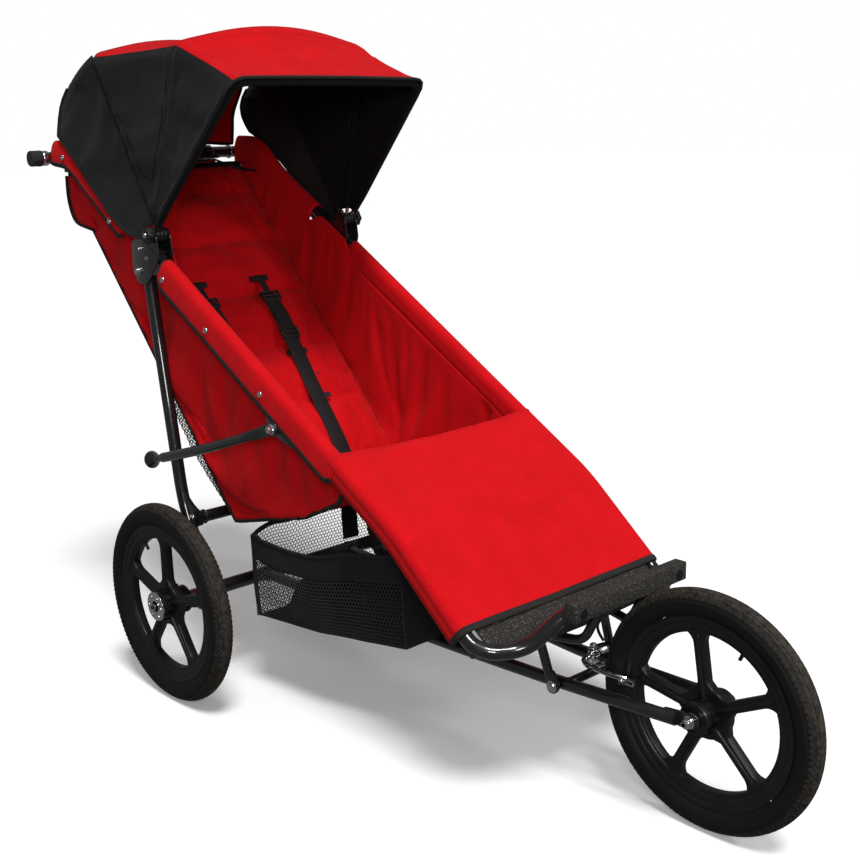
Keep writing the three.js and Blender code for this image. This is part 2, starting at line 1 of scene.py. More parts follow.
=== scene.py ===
"""The looks of a three-wheeled jogging stroller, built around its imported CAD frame.

Every length is in millimetres. X is across the stroller, Y is measured from the rear axle
(negative towards the front wheel) and Z from the ground; frame_point() turns a place into the
frame's metres. `side` is -1 for the child's right and +1 for the child's left, `word` its name.
"""

import math

import bmesh
import bpy
from mathutils import Matrix, Vector, noise


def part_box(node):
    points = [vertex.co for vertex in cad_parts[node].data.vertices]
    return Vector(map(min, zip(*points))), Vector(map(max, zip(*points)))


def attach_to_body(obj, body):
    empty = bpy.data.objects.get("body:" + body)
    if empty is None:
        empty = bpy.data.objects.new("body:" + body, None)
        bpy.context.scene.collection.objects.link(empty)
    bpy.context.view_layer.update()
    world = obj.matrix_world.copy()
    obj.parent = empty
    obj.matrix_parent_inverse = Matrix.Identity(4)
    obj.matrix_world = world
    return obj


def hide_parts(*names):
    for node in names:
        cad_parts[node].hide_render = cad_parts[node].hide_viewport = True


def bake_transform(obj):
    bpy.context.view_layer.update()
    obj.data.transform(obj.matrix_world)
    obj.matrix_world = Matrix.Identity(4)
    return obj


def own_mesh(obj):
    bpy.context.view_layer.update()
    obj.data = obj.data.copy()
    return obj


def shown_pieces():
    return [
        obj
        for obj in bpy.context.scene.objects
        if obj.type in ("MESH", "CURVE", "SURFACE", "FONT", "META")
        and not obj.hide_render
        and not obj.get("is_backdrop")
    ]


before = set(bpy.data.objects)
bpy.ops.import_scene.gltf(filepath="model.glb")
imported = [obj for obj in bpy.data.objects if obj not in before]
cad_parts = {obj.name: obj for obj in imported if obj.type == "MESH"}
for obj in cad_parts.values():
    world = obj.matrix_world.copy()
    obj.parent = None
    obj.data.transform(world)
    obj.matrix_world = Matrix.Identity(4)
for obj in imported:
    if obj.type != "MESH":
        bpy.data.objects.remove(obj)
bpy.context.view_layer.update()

# ---------- driving dimensions ----------
MM = 0.001
SIDES = {-1: "right", 1: "left"}
tyre_low, tyre_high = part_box("rear_tyre_left")
front_low, front_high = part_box("front_tyre")
AXLE_Y = (tyre_low.y + tyre_high.y) / 2
WHEEL_RADIUS = (tyre_high.z - tyre_low.z) / 2 / MM
REAR_WHEEL_X = (tyre_low.x + tyre_high.x) / 2 / MM
FRONT_AXLE_Y = ((front_low.y + front_high.y) / 2 - AXLE_Y) / MM
RAIL_X = 236
TUBE_RADIUS = 12.7
HANDLE = (525, 1052)
RAIL_FOOT = (-742, 298)
RAIL_KNEE = (-569, 447)
RAIL_TOP = (430, 1049)
FOLD_PIVOT = (-775, 187)
CANOPY_PIVOT = (114, 906)
ACROSS = Vector((1, 0, 0))


# ---------- making meshes ----------
def frame_point(x, y, z):
    """A place in the frame's metres."""
    return Vector((x * MM, AXLE_Y + y * MM, z * MM))


def from_frame(spot):
    """The reverse of frame_point."""
    return Vector((spot.x / MM, (spot.y - AXLE_Y) / MM, spot.z / MM))


class Form:
    """A mesh in the making: points, and faces that carry a UV in millimetres and a look number."""

    def __init__(self):
        self.points = []
        self.faces = []
        self.uvs = []
        self.looks = []

    def face(self, corners, uvs=None, look=0):
        self.faces.append(tuple(corners))
        self.uvs.append(uvs or [(0.0, 0.0)] * len(corners))
        self.looks.append(look)

    def grid(self, rows, loop=False, ring=False, look=lambda r, c: 0):
        """Quads over rows of points. loop closes each row on itself, ring joins the last row to the first."""
        first = len(self.points)
        count = len(rows[0])
        for row in rows:
            self.points.extend(Vector(p) for p in row)
        middle_row = rows[len(rows) // 2]
        across = running_length([*middle_row, middle_row[0]])
        middle = count // 2
        along = running_length([row[middle] for row in rows] + [rows[0][middle]])
        for r in range(len(rows) if ring else len(rows) - 1):
            below = first + r * count
            above = first + (r + 1) % len(rows) * count
            for c in range(count if loop else count - 1):
                d = (c + 1) % count
                uvs = [(across[c], along[r]), (across[c + 1], along[r]),
                       (across[c + 1], along[r + 1]), (across[c], along[r + 1])]
                self.face((below + c, below + d, above + d, above + c), uvs, look(r, c))

    def prism(self, outline_a, outline_b):
        """Joins two outlines with the same number of points into a closed solid."""
        count = len(outline_a)
        self.points += [*outline_a, *outline_b]
        self.face(list(range(count))[::-1])
        self.face(list(range(count, 2 * count)))
        for i in range(count):
            j = (i + 1) % count
            self.face((i, j, count + j, count + i))

    def merge(self, *others):
        for other in others:
            first = len(self.points)
            self.points.extend(other.points)
            for corners, uvs, number in zip(other.faces, other.uvs, other.looks):
                self.face([first + i for i in corners], uvs, number)
        return self

    def move(self, change):
        """Puts every point through a function."""
        self.points = [change(p) for p in self.points]
        return self


def sheet(rows, **options):
    form = Form()
    form.grid(rows, **options)
    return form


def merged(*forms):
    return Form().merge(*forms)


def grid_of(rows, columns, place):
    """place(v, u) over a grid; v runs from 0 to 1 up the rows and u along them."""
    return [[place(r / rows, c / columns) for c in range(columns + 1)] for r in range(rows + 1)]


def running_length(points):
    total = [0.0]
    for a, b in zip(points, points[1:]):
        total.append(total[-1] + (Vector(b) - Vector(a)).length)
    return total


def flipped(p):
    return Vector((-p.x, p.y, p.z))


def mirrored(form, side):
    """The form as drawn for side +1, or its mirror image for side -1."""
    if side > 0:
        return form
    other = Form()
    other.points = [flipped(p) for p in form.points]
    for corners, uvs, look in zip(form.faces, form.uvs, form.looks):
        other.face(corners[::-1], uvs[::-1], look)
    return other


def rounded(corners, steps=8, closed=False):
    """A line through corners; a corner's fourth number is where its rounding starts and ends."""
    places = [Vector(c[:3]) for c in corners]
    bends = [c[3] if len(c) > 3 else 0 for c in corners]
    line = []
    for i, (place, bend) in enumerate(zip(places, bends)):
        if bend == 0 or (not closed and i in (0, len(places) - 1)):
            line.append(place)
            continue
        before = places[i - 1]
        after = places[(i + 1) % len(places)]
        start = place + (before - place).normalized() * bend
        end = place + (after - place).normalized() * bend
        for k in range(steps + 1):
            t = k / steps
            line.append(start.lerp(place, t).lerp(place.lerp(end, t), t))
    return line


def resampled(line, count):
    """count points spread evenly along a line."""
    line = [Vector(p) for p in line]
    at = running_length(line)
    out = []
    k = 0
    for i in range(count):
        want = at[-1] * i / (count - 1)
        while k < len(line) - 2 and at[k + 1] < want:
            k += 1
        share = (want - at[k]) / max(at[k + 1] - at[k], 1e-9)
        out.append(line[k].lerp(line[k + 1], min(max(share, 0), 1)))
    return out


def circle(radius, sides=24, flat=1.0):
    """A round section, or an oval one `flat` times as high as it is wide."""
    turns = [2 * math.pi * i / sides for i in range(sides)]
    return [(radius * math.cos(t), flat * radius * math.sin(t)) for t in turns]


def strap_section(width, height):
    """A flat band with rounded edges."""
    w, h = width / 2, height / 2
    lower = [(-w, -h * 0.4), (-w + h, -h), (0, -h), (w - h, -h), (w, -h * 0.4)]
    return lower + [(u, -v) for u, v in reversed(lower)]


def sweep(line, section, across=None, closed=False):
    """Carries a section along a line. `across` is the direction of the section's width."""
    line = [Vector(p) for p in line]
    count = len(line)
    rows = []
    side = None
    for i, place in enumerate(line):
        before = line[i - 1] if i > 0 or closed else place
        after = line[(i + 1) % count] if i < count - 1 or closed else place
        tangent = (after - before).normalized()
        wanted = across[i] if isinstance(across, list) else across
        if wanted is None:
            wanted = side or tangent.orthogonal()
        side = (wanted - tangent * tangent.dot(wanted)).normalized()
        up = side.cross(tangent)
        points = section(i / max(count - 1, 1)) if callable(section) else section
        rows.append([place + side * u + up * v for u, v in points])
    form = sheet(rows, loop=True, ring=closed)
    if not closed:
        width = len(rows[0])
        form.face(list(range(width))[::-1])
        form.face([(count - 1) * width + c for c in range(width)])
    return form


def tube(corners, radius=TUBE_RADIUS, steps=8):
    return sweep(rounded(corners, steps), circle(radius))


def cross_bar(radius, x1, x2, y, z, sides=32):
    return sweep([(x1, y, z), (x2, y, z)], circle(radius, sides))


def turned(profile, centre, axis="X", segments=48, closed=False):
    """A profile of (radius, along) points turned about an axis through the centre."""
    rows = []
    for i in range(segments):
        turn = 2 * math.pi * i / segments
        row = []
        for radius, along in profile:
            a, b = radius * math.cos(turn), radius * math.sin(turn)
            offset = {"X": (along, a, b), "Y": (b, along, a), "Z": (a, b, along)}[axis]
            row.append(Vector(centre) + Vector(offset))
        rows.append(row)
    return sheet(rows, loop=closed, ring=True)


def disc(radius, low, high, centre, axis="X", segments=24):
    return turned([(0.01, low), (radius, low), (radius, high), (0.01, high)], centre, axis, segments)


def collar(inner, outer, low, high, centre, axis="X", segments=48, chamfer=1.0, slant=None):
    """A ring whose outer edges are cut back by `chamfer`, over `slant` along its axis."""
    slant = slant or chamfer
    half = [(inner, low), (outer - chamfer, low), (outer, low + slant)]
    other = [(outer, high - slant), (outer - chamfer, high), (inner, high)]
    return turned(half + other, centre, axis, segments, closed=True)


def plate(outline, x1, x2):
    """A flat plate drawn in side view as (y, z) points, running from x1 to x2."""
    form = Form()
    form.prism(*([Vector((x, y, z)) for y, z in outline] for x in (x1, x2)))
    return form


def block(size, centre):
    """A box with its edges along the axes."""
    (a, b, c), (x, y, z) = size, centre
    outline = [(y - b / 2, z - c / 2), (y + b / 2, z - c / 2), (y + b / 2, z + c / 2), (y - b / 2, z + c / 2)]
    return plate(outline, x - a / 2, x + a / 2)


def round_outline(corners, steps=5):
    """A side-view outline whose corners (y, z, bend) are rounded."""
    line = rounded([(0, y, z, *bend) for y, z, *bend in corners], steps, closed=True)
    return [(p.y, p.z) for p in line]


def link(made):
    bpy.context.scene.collection.objects.link(made)


def slot_of(look):
    """The named finish of a look; Blender may have put a number after its name."""
    return SLOT_OF[look.name.split(".")[0]]


def piece(name, form, look, body="seat_frame", stands_for="", edge=0.0, crease=35, thickness=0.0,
          origin=None, slot=None):
    """Makes the object. edge rounds its sharp edges, thickness makes a solid of a sheet."""
    mesh = bpy.data.meshes.new(name)
    base = origin or Vector((0, 0, 0))
    mesh.from_pydata([frame_point(*p) - base for p in form.points], [], form.faces)
    layer = mesh.uv_layers.new(name="mm")
    layer.data.foreach_set("uv", [n for uvs in form.uvs for uv in uvs for n in uv])
    looks = look if isinstance(look, list) else [look]
    for each in looks:
        mesh.materials.append(each)
    mesh.polygons.foreach_set("material_index", form.looks)
    tidy_mesh(mesh, edge)
    mesh.shade_smooth()
    mesh.set_sharp_from_angle(angle=math.radians(crease))
    made = bpy.data.objects.new(name, mesh)
    made.location = base
    link(made)
    if thickness:
        thicken(made, thickness)
    return attach(made, body, slot or slot_of(looks[0]), stands_for)


def attach(made, body, slot, stands_for):
    """Puts a piece on the body it rides on and hides the CAD node it stands for; slot, its finish, is not
    used.
    """
    if body:
        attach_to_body(made, body)
    if stands_for:
        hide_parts(stands_for)
    return made


def pair(name, form, look, body="seat_frame", stands_for="", **finish):
    """A piece drawn for side +1, and its mirror image; {} in a body's or node's name is the side."""
    for side, word in SIDES.items():
        piece(f"{name}_{word}", mirrored(form, side), look, body.format(word), stands_for.format(word),
              **finish)


def thicken(made, thickness, look_step=0):
    """Makes a sheet solid; look_step is how many looks its back is after its front."""
    solid = made.modifiers.new("thickness", "SOLIDIFY")
    solid.thickness = thickness * MM
    solid.offset = 0
    solid.material_offset = look_step


def tidy_mesh(mesh, edge):
    work = bmesh.new()
    work.from_mesh(mesh)
    bmesh.ops.recalc_face_normals(work, faces=work.faces)
    if edge:
        sharp = [e for e in work.edges if e.is_manifold and e.calc_face_angle() > math.radians(38)]
        bmesh.ops.bevel(work, geom=sharp, offset=edge * MM, segments=2, profile=0.5,
                        affect="EDGES", clamp_overlap=True)
    work.to_mesh(mesh)
    work.free()


# ---------- looks ----------
class Look:
    """A node material built on one Principled shader."""

    def __init__(self, name, colour, roughness, metallic=0.0, **inputs):
        self.material = bpy.data.materials.new(name)
        self.material.use_nodes = True
        self.tree = self.material.node_tree
        self.shader = self.tree.nodes["Principled BSDF"]
        self.set("Base Color", (*colour, 1))
        self.set("Roughness", roughness)
        self.set("Metallic", metallic)
        for key, value in inputs.items():
            self.set(key.replace("_", " ").title().replace("Ior", "IOR"), value)

    def feed(self, socket, value):
        if isinstance(value, bpy.types.NodeSocket):
            self.tree.links.new(value, socket)
        else:
            socket.default_value = value

    def set(self, key, value):
        self.feed(self.shader.inputs[key], value)

    def node(self, kind, output=0, options=None, **inputs):
        """Adds a node; inputs are keyed by socket name or by its number as _0, _1."""
        made = self.tree.nodes.new(kind)
        for key, value in (options or {}).items():
            setattr(made, key, value)
        for key, value in inputs.items():
            self.feed(made.inputs[int(key[1:])] if key.startswith("_") else made.inputs[key], value)
        return made.outputs[output]

    def math(self, operation, a, b=0.0):
        return self.node("ShaderNodeMath", options={"operation": operation}, _0=a, _1=b)

    def add(self, a, b):
        return self.math("ADD", a, b)

    def times(self, a, b):
        return self.math("MULTIPLY", a, b)

    def waves(self, value, pitch):
        return self.math("SINE", self.times(value, 2 * math.pi / pitch))

    def place(self):
        """Where a point is on its own mesh, in millimetres."""
        spot = self.node("ShaderNodeTexCoord", output=3)
        return self.node("ShaderNodeVectorMath", options={"operation": "SCALE"}, _0=spot, Scale=1000.0)

    def split(self, place):
        """The separate coordinates of a place."""
        parts = self.tree.nodes.new("ShaderNodeSeparateXYZ")
        self.tree.links.new(place, parts.inputs[0])
        return parts.outputs

    def uv(self):
        return self.split(self.node("ShaderNodeUVMap"))

    def noise(self, scale_mm, detail=3.0):
        return self.node("ShaderNodeTexNoise", Vector=self.place(), Scale=1.0 / scale_mm, Detail=detail,
                         Roughness=0.55)

    def cells(self, scale):
        return self.node("ShaderNodeTexVoronoi", Vector=self.place(), Scale=scale)

    def remap(self, value, low, high, to_low, to_high):
        return self.node("ShaderNodeMapRange", _0=value, _1=low, _2=high, _3=to_low, _4=to_high)

    def rough(self, value, low, high, to_low, to_high):
        self.set("Roughness", self.remap(value, low, high, to_low, to_high))

    def colour(self, factor, a, b):
        mixed = self.node("ShaderNodeMix", output=2, options={"data_type": "RGBA"}, _0=factor, _6=a, _7=b)
        self.set("Base Color", mixed)

    def bump(self, height, distance_mm, strength=1.0):
        normal = self.node("ShaderNodeBump", Height=height, Strength=strength, Distance=distance_mm * MM)
        self.set("Normal", normal)


def shade(colour, factor):
    return tuple(min(c * factor, 1.0) for c in colour) + (1,)


def woven(name, colour, pitch=1.3, sheen=0.02, crumple=1.2):
    """Plain-weave coated cloth: threads in both directions, cloudy colour, soft creases."""
    look = Look(name, colour, 0.85, sheen_weight=sheen, sheen_roughness=0.5, specular_ior_level=0.07)
    u, v, _ = look.uv()
    warp = look.waves(u, pitch)
    threads = look.times(warp, look.waves(v, pitch))
    cloud = look.noise(60, 4)
    grain = look.noise(2.2, 2)
    # The threads term is painted shade: the colour is lighter on the raised threads and darker at the low
    # points of the weave, following the bump. Cloud and grain are the cloth's own uneven tone.
    tone = look.add(look.remap(threads, -1, 1, -0.16, 0.16), look.remap(cloud, 0.3, 0.7, -0.1, 0.1))
    tone = look.add(tone, look.remap(grain, 0.3, 0.7, -0.14, 0.14))
    look.colour(look.add(tone, 0.5), shade(colour, 0.62), shade(colour, 1.38))
    creases = look.noise(34, 5)
    height = look.add(look.times(threads, 0.12), look.times(creases, crumple))
    look.bump(look.add(height, look.times(grain, 0.18)), 1.0, 0.9)
    return look.material


def ribbed(name, colour, pitch=2.2, roughness=0.62):
    """Webbing and binding tape: fine ribs across the band."""
    look = Look(name, colour, roughness, sheen_weight=0.02, specular_ior_level=0.22)
    u, v, _ = look.uv()
    ribs = look.waves(v, pitch)
    height = look.add(ribs, look.times(look.waves(u, 1.7 * pitch), 0.6))
    worn = look.noise(25, 3)
    # The colour follows the rib height as painted shade: the grooves are darker and the ribs lighter. The
    # worn noise adds real wear.
    tone = look.add(look.remap(height, -1.6, 1.6, 0.2, 0.8), look.remap(worn, 0.3, 0.7, -0.2, 0.2))
    look.colour(tone, shade(colour, 0.55), shade(colour, 1.7))
    look.bump(height, 0.35, 0.8)
    return look.material


def coated(name, colour, roughness=0.22):
    """Gloss powder coat: a slight orange peel, faint dust and polished highlights."""
    look = Look(name, colour, roughness, coat_weight=1.0, coat_roughness=0.06, specular_ior_level=0.3)
    peel = look.noise(2.6, 2)
    dust = look.noise(45, 5)
    look.rough(dust, 0.35, 0.7, roughness * 0.8, roughness * 1.7)
    look.colour(look.remap(dust, 0.5, 0.8, 0, 0.5), shade(colour, 1), shade(colour, 2.4))
    look.bump(peel, 0.25, 0.5)
    return look.material


def plated(name, colour=(0.72, 0.72, 0.73), roughness=0.12):
    """Bright plating with faint handling marks."""
    look = Look(name, colour, roughness, metallic=1.0)
    marks = look.noise(7, 4)
    look.rough(marks, 0.35, 0.7, roughness * 0.7, roughness * 2.2)
    look.colour(look.remap(marks, 0.45, 0.8, 0, 0.6), shade(colour, 1), shade(colour, 0.72))
    look.bump(look.noise(1.6, 2), 0.05, 0.4)
    return look.material


def moulded(name, colour=(0.012, 0.012, 0.013), roughness=0.36, grain_mm=0.9):
    """Satin moulded plastic with a fine spark-eroded grain."""
    look = Look(name, colour, roughness, specular_ior_level=0.3)
    grain = look.noise(grain_mm, 2)
    cloud = look.noise(40, 4)
    look.rough(cloud, 0.3, 0.7, roughness * 0.8, roughness * 1.4)
    look.colour(look.remap(cloud, 0.4, 0.8, 0, 0.5), shade(colour, 1), shade(colour, 2.0))
    look.bump(grain, 0.12, 0.6)
    return look.material


def rubber(name, colour=(0.008, 0.008, 0.008)):
    """Tyre rubber: matt, with pale road dust on the tread and shoulders."""
    look = Look(name, colour, 0.6, specular_ior_level=0.12)
    place = look.split(look.place())
    squares = [look.math("POWER", place[i], 2.0) for i in (1, 2)]
    radius = look.math("SQRT", look.add(*squares))
    dust = look.times(look.remap(radius, 184, 199, 0, 1), look.remap(look.noise(9, 5), 0.35, 0.65, 0.2, 1))
    look.colour(look.times(dust, 0.55), shade(colour, 1), (0.085, 0.07, 0.055, 1))
    look.rough(dust, 0, 1, 0.5, 0.9)
    look.bump(look.noise(1.1, 3), 0.2, 0.6)
    return look.material


def gritty(name, colour=(0.022, 0.02, 0.018)):
    """Anti-slip tape: coarse mineral grit, some grains catching the light."""
    look = Look(name, colour, 0.8, specular_ior_level=0.5)
    cells = look.cells(0.30)
    sparkle = look.noise(2.6, 3)
    bright = look.times(look.remap(sparkle, 0.53, 0.62, 0, 1), look.remap(cells, 0.1, 0.6, 0.9, 0.1))
    look.colour(bright, shade(colour, 0.45), (0.20, 0.17, 0.13, 1))
    look.rough(bright, 0, 1, 0.85, 0.3)
    look.bump(look.add(cells, sparkle), 1.0, 0.9)
    return look.material


def foam_rubber(name, colour=(0.016, 0.016, 0.016)):
    """Closed-cell foam sleeve with open pores."""
    look = Look(name, colour, 0.85, specular_ior_level=0.3)
    pores = look.cells(0.45)
    # Painted shade: the colour is darkest in the pits of the pores, where the bump sinks.
    look.colour(look.remap(pores, 0, 0.6, 0, 1), (0.008, 0.008, 0.008, 1), (0.03, 0.03, 0.03, 1))
    look.bump(pores, 0.6, 0.8)
    return look.material


red_cloth = woven("red_cloth", (0.56, 0.0040, 0.0075))
black_cloth = woven("black_cloth", (0.013, 0.013, 0.014), sheen=0.04, crumple=1.6)
lining = woven("black_lining", (0.006, 0.006, 0.007))
binding_tape = ribbed("binding_tape", (0.012, 0.011, 0.010))
webbing = ribbed("webbing", (0.008, 0.008, 0.009), pitch=2.6, roughness=0.5)
net_cord = moulded("net_cord", (0.022, 0.021, 0.021), 0.5, 1.5)
paint = coated("black_powder_coat", (0.008, 0.008, 0.009))
chrome = plated("chrome_plate")
wheel_plastic = moulded("wheel_nylon", (0.006, 0.006, 0.007), 0.34, 1.2)
black_plastic = moulded("black_moulding")
tyre_rubber = rubber("tyre_rubber")
grip_tape = gritty("grip_tape")
foam = foam_rubber("grip_foam")
red_thread = woven("red_thread", (0.5, 0.01, 0.015), pitch=0.5, crumple=0)
black_thread = woven("black_thread", (0.02, 0.02, 0.02), pitch=0.5, crumple=0)
brake_lining = moulded("brake_rubber", (0.02, 0.02, 0.02), 0.8, 0.6)

# The material slot that each look belongs to.
SLOT_OF = {
    "red_cloth": "red_fabric", "red_thread": "red_fabric", "black_cloth": "black_fabric",
    "black_lining": "black_fabric", "binding_tape": "black_fabric", "black_thread": "black_fabric",
    "webbing": "webbing", "black_powder_coat": "black_paint", "chrome_plate": "chrome",
    "wheel_nylon": "wheel_plastic", "black_moulding": "black_plastic", "tyre_rubber": "tyre_rubber",
    "grip_tape": "grip_tape", "brake_rubber": "grip_tape", "grip_foam": "foam",
}


# ---------- small fittings ----------
def ring_of(count, radius):
    """(y, z) offsets of `count` places spread round a circle."""
    return circle(radius, count)


def bolt_head(x, direction, y, z, across_flats, height, washer):
    """A chamfered hex head on a washer, standing proud of the plane at x."""
    base, tip = x + direction * 1.6, x + direction * (height + 1.6)
    outline = [(y + a, z + b) for a, b in circle(across_flats / math.sqrt(3), 6)]
    head = plate(outline, min(base, tip), max(base, tip))
    cap = disc(across_flats * 0.4, 0, direction * 0.7, (tip, y, z))
    return merged(head, cap, disc(washer, 0, direction * 1.5, (x, y, z), segments=28))


def weld(centre, axis, radius, size):
    """A rippled bead round a tube where it meets its neighbour."""
    line = []
    tangent = Vector(axis).normalized()
    across = tangent.orthogonal().normalized()
    up = tangent.cross(across)
    for i in range(36):
        turn = 2 * math.pi * i / 36
        ripple = radius + 0.5 * math.cos(9 * turn)
        line.append(Vector(centre) + (across * math.cos(turn) + up * math.sin(turn)) * ripple)
    return sweep(line, circle(size, 8), closed=True)


def stitches(name, lines, thread, body="seat_frame", pitch=5.0):
    """Rows of separate sewn stitches along lines."""
    length, radius = 3.2, 0.55
    form = Form()
    for line in lines:
        count = max(int(running_length(line)[-1] / pitch), 2)
        spots = resampled(line, count)
        for i, spot in enumerate(spots):
            along = (spots[min(i + 1, count - 1)] - spots[max(i - 1, 0)]).normalized()
            side = along.orthogonal().normalized() * radius
            up = along.cross(side).normalized() * radius
            tip = along * length / 2
            first = len(form.points)
            form.points += [spot - tip, spot + side, spot + up, spot - side, spot - up, spot + tip]
            for a in range(4):
                b = (a + 1) % 4
                form.face((first, first + 1 + b, first + 1 + a))
                form.face((first + 5, first + 1 + a, first + 1 + b))
    return piece(name, form, thread, body)


# ---------- wheels ----------
SPOKES = 5
FRONT_SPOKE_PHASE = -9
HUB_RADIUS = 27
TYRE_HALF_WIDTH = 23.5
RIM_INNER_RADIUS = 134
TREAD_BLOCKS = 120


def tread_height(angle, i):
    """How far the tyre stands out at an angle from the middle of its tread, i steps round."""
    a = abs(angle)
    if a > 64:
        return (0.7 if 74 < a < 82 else 0.0) - 1.3
    if a < 18:
        return 0.0
    phase = (i + (2 if 34 < a < 48 else 0)) % 4
    in_row = 21 < a < 36 or 49 < a < 63
    if in_row or 36 <= a <= 48:
        return -0.2 if phase < 3 and a not in (35, 47, 20) else -1.9
    return -1.6


def tyre_mesh():
    """Smooth side walls, a ribbed shoulder and three rows of small tread blocks."""
    middle = WHEEL_RADIUS - TYRE_HALF_WIDTH
    steps = 4 * TREAD_BLOCKS
    angles = [-140, -128, -116, -104, -92, -84, -80, -76, -70, -64, -62, -52, -50, -47, -37, -35, -32, -22,
              -20, -17, -9, 0]
    angles += [-t for t in reversed(angles[:-1])]
    rows = []
    for i in range(steps):
        spin = 2 * math.pi * i / steps
        row = []
        for angle in angles:
            reach = TYRE_HALF_WIDTH + tread_height(angle, i)
            lean = math.radians(angle)
            out = middle + reach * math.cos(lean)
            row.append(Vector((reach * math.sin(lean), out * math.cos(spin), out * math.sin(spin))))
        rows.append(row)
    return sheet(rows, ring=True)


def spoke_axes(number):
    """The directions along and across a spoke; halves are the gaps between spokes."""
    turn = math.radians(90 + number * 360 / SPOKES)
    return Vector((0, math.cos(turn), math.sin(turn))), Vector((0, -math.sin(turn), math.cos(turn)))


def spoke_window(number):
    """One opening between two spokes, with round corners, as (y, z) points."""
    half_width, rim_fillet, hub_fillet = 9.5, 22, 8
    inner, outer = 40, RIM_INNER_RADIUS - 5

    def spoke_edge(along):
        over = max(along - (outer + 4 - rim_fillet), 0)
        under = max(inner + hub_fillet - along, 0)
        flare = rim_fillet - math.sqrt(rim_fillet ** 2 - over ** 2)
        root = hub_fillet - math.sqrt(max(hub_fillet ** 2 - under ** 2, 0))
        return half_width + flare + root

    def beside_spoke(along, side):
        out, across = spoke_axes(number + (1 - side) / 2)
        place = out * along + across * side * spoke_edge(along)
        return (place.y, place.z)

    def arc(start, end, steps):
        radius = math.hypot(*start)
        first, last = math.atan2(start[1], start[0]), math.atan2(end[1], end[0])
        turn = (last - first + math.pi) % (2 * math.pi) - math.pi
        turns = [first + turn * k / steps for k in range(1, steps)]
        return [(radius * math.cos(t), radius * math.sin(t)) for t in turns]

    places = [inner + (outer - inner) * math.sin(math.pi / 2 * k / 24) ** 0.8 for k in range(25)]
    up = [beside_spoke(a, 1) for a in places]
    down = [beside_spoke(a, -1) for a in reversed(places)]
    return up + arc(up[-1], down[0], 14) + down + arc(down[-1], up[0], 5)


def spoke_disc():
    """The five spokes, cut as one moulding with softened edges, by a filled curve."""
    soft, half_thickness, bore = 3.0, 9.0, 14
    curve = bpy.data.curves.new("spoke_disc", "CURVE")
    curve.dimensions = "2D"
    curve.fill_mode = "BOTH"
    curve.extrude = half_thickness - soft
    curve.bevel_depth = soft
    curve.bevel_resolution = 2
    curve.offset = -soft
    windows = [spoke_window(i) for i in range(SPOKES)]
    for outline in [circle(RIM_INNER_RADIUS + 10, 120), circle(bore, 32), *windows]:
        spline = curve.splines.new("POLY")
        spline.points.add(len(outline) - 1)
        for point, (a, b) in zip(spline.points, outline):
            point.co = (a, b, 0, 1)
        spline.use_cyclic_u = True
    made = bpy.data.objects.new("spoke_disc", curve)
    link(made)
    bpy.context.view_layer.update()
    mesh = made.to_mesh()
    form = Form()
    form.points = [Vector((v.co.z, v.co.x, v.co.y)) for v in mesh.vertices]
    for polygon in mesh.polygons:
        form.face(list(polygon.vertices))
    made.to_mesh_clear()
    bpy.data.objects.remove(made)
    bpy.data.curves.remove(curve)
    return form


def spoke_ridge(number, side):
    """The raised rib down the middle of a spoke, tapering to a round end near the rim."""
    out, across = spoke_axes(number)
    start, length, skin = 26, 104, 8.4

    def place(share, part):
        spread = math.pi * part
        end = min(1.0, math.sqrt(max(1 - max((share - 0.93) / 0.07, 0) ** 2, 0)))
        half = max(4.4 * end, 0.05)
        rise = 8.6 + 5.0 * end * (1 - 0.55 * share)
        height = skin + (rise - skin) * math.sin(spread) ** 0.7
        return out * (start + length * share) + across * half * math.cos(spread) + ACROSS * side * height

    return sheet(grid_of(24, 8, place))


def rim_form():
    """The box-section rim with its two stepped flanges."""
    half = [(158, 13.0), (159, 14.6), (154, 15.6), (150, 14.4), (147.5, 12.2), (143, 13.2), (139.5, 12.6),
            (136, 10.8), (RIM_INNER_RADIUS, 7.5)]
    profile = half + [(r, -x) for r, x in reversed(half)]
    return turned(profile, (0, 0, 0), segments=144, closed=True)


def hub_form(inner, outer):
    """A moulded hub with flanges, bearing seats and ribs at both ends."""
    def end(x, direction):
        steps = ((9, 0), (13, 0), (13, 2), (21, 2), (21, 0), (25, 0), (HUB_RADIUS, 2), (HUB_RADIUS, 9),
                 (24, 12))
        return [(radius, x + direction * along) for radius, along in steps]

    form = turned(end(inner, 1) + end(outer, -1)[::-1], (0, 0, 0), segments=64, closed=True)
    for side, reach in ((-1, abs(inner)), (1, outer)):
        for y, z in ring_of(10, HUB_RADIUS + 2.5):
            form.merge(block((reach - 12, 3, 3), (side * 14, y, z)))
    return form


def valve_form():
    """The tube's valve stem, pointing to the hub from the rim."""
    profile = [(0.01, 0), (3.2, 0), (3.2, 14), (2.6, 15), (2.6, 16), (3.1, 16.4), (3.1, 21), (0.01, 22)]
    out, across = spoke_axes(0.5)
    seat = RIM_INNER_RADIUS + 3
    return turned(profile, (0, 0, 0), "Z", 20).move(lambda p: out * (seat - p.z) + across * p.x
                                                    + ACROSS * p.y)


def share_mesh(source, name, body, x, stands_for, turn=0.0):
    """Another rear wheel part with the same mesh, perhaps turned about Z."""
    made = bpy.data.objects.new(name, source.data)
    made.location = frame_point(x, 0, WHEEL_RADIUS)
    made.rotation_euler = (0, 0, turn)
    link(made)
    attach(made, body, slot_of(source.data.materials[0]), stands_for)


def wheel_piece(name, form, look, place, body, node, **finish):
    """A piece drawn about a wheel's middle, moved to the wheel's place."""
    form.move(lambda p: p + Vector(place))
    return piece(name, form, look, body, node, origin=frame_point(*place), **finish)


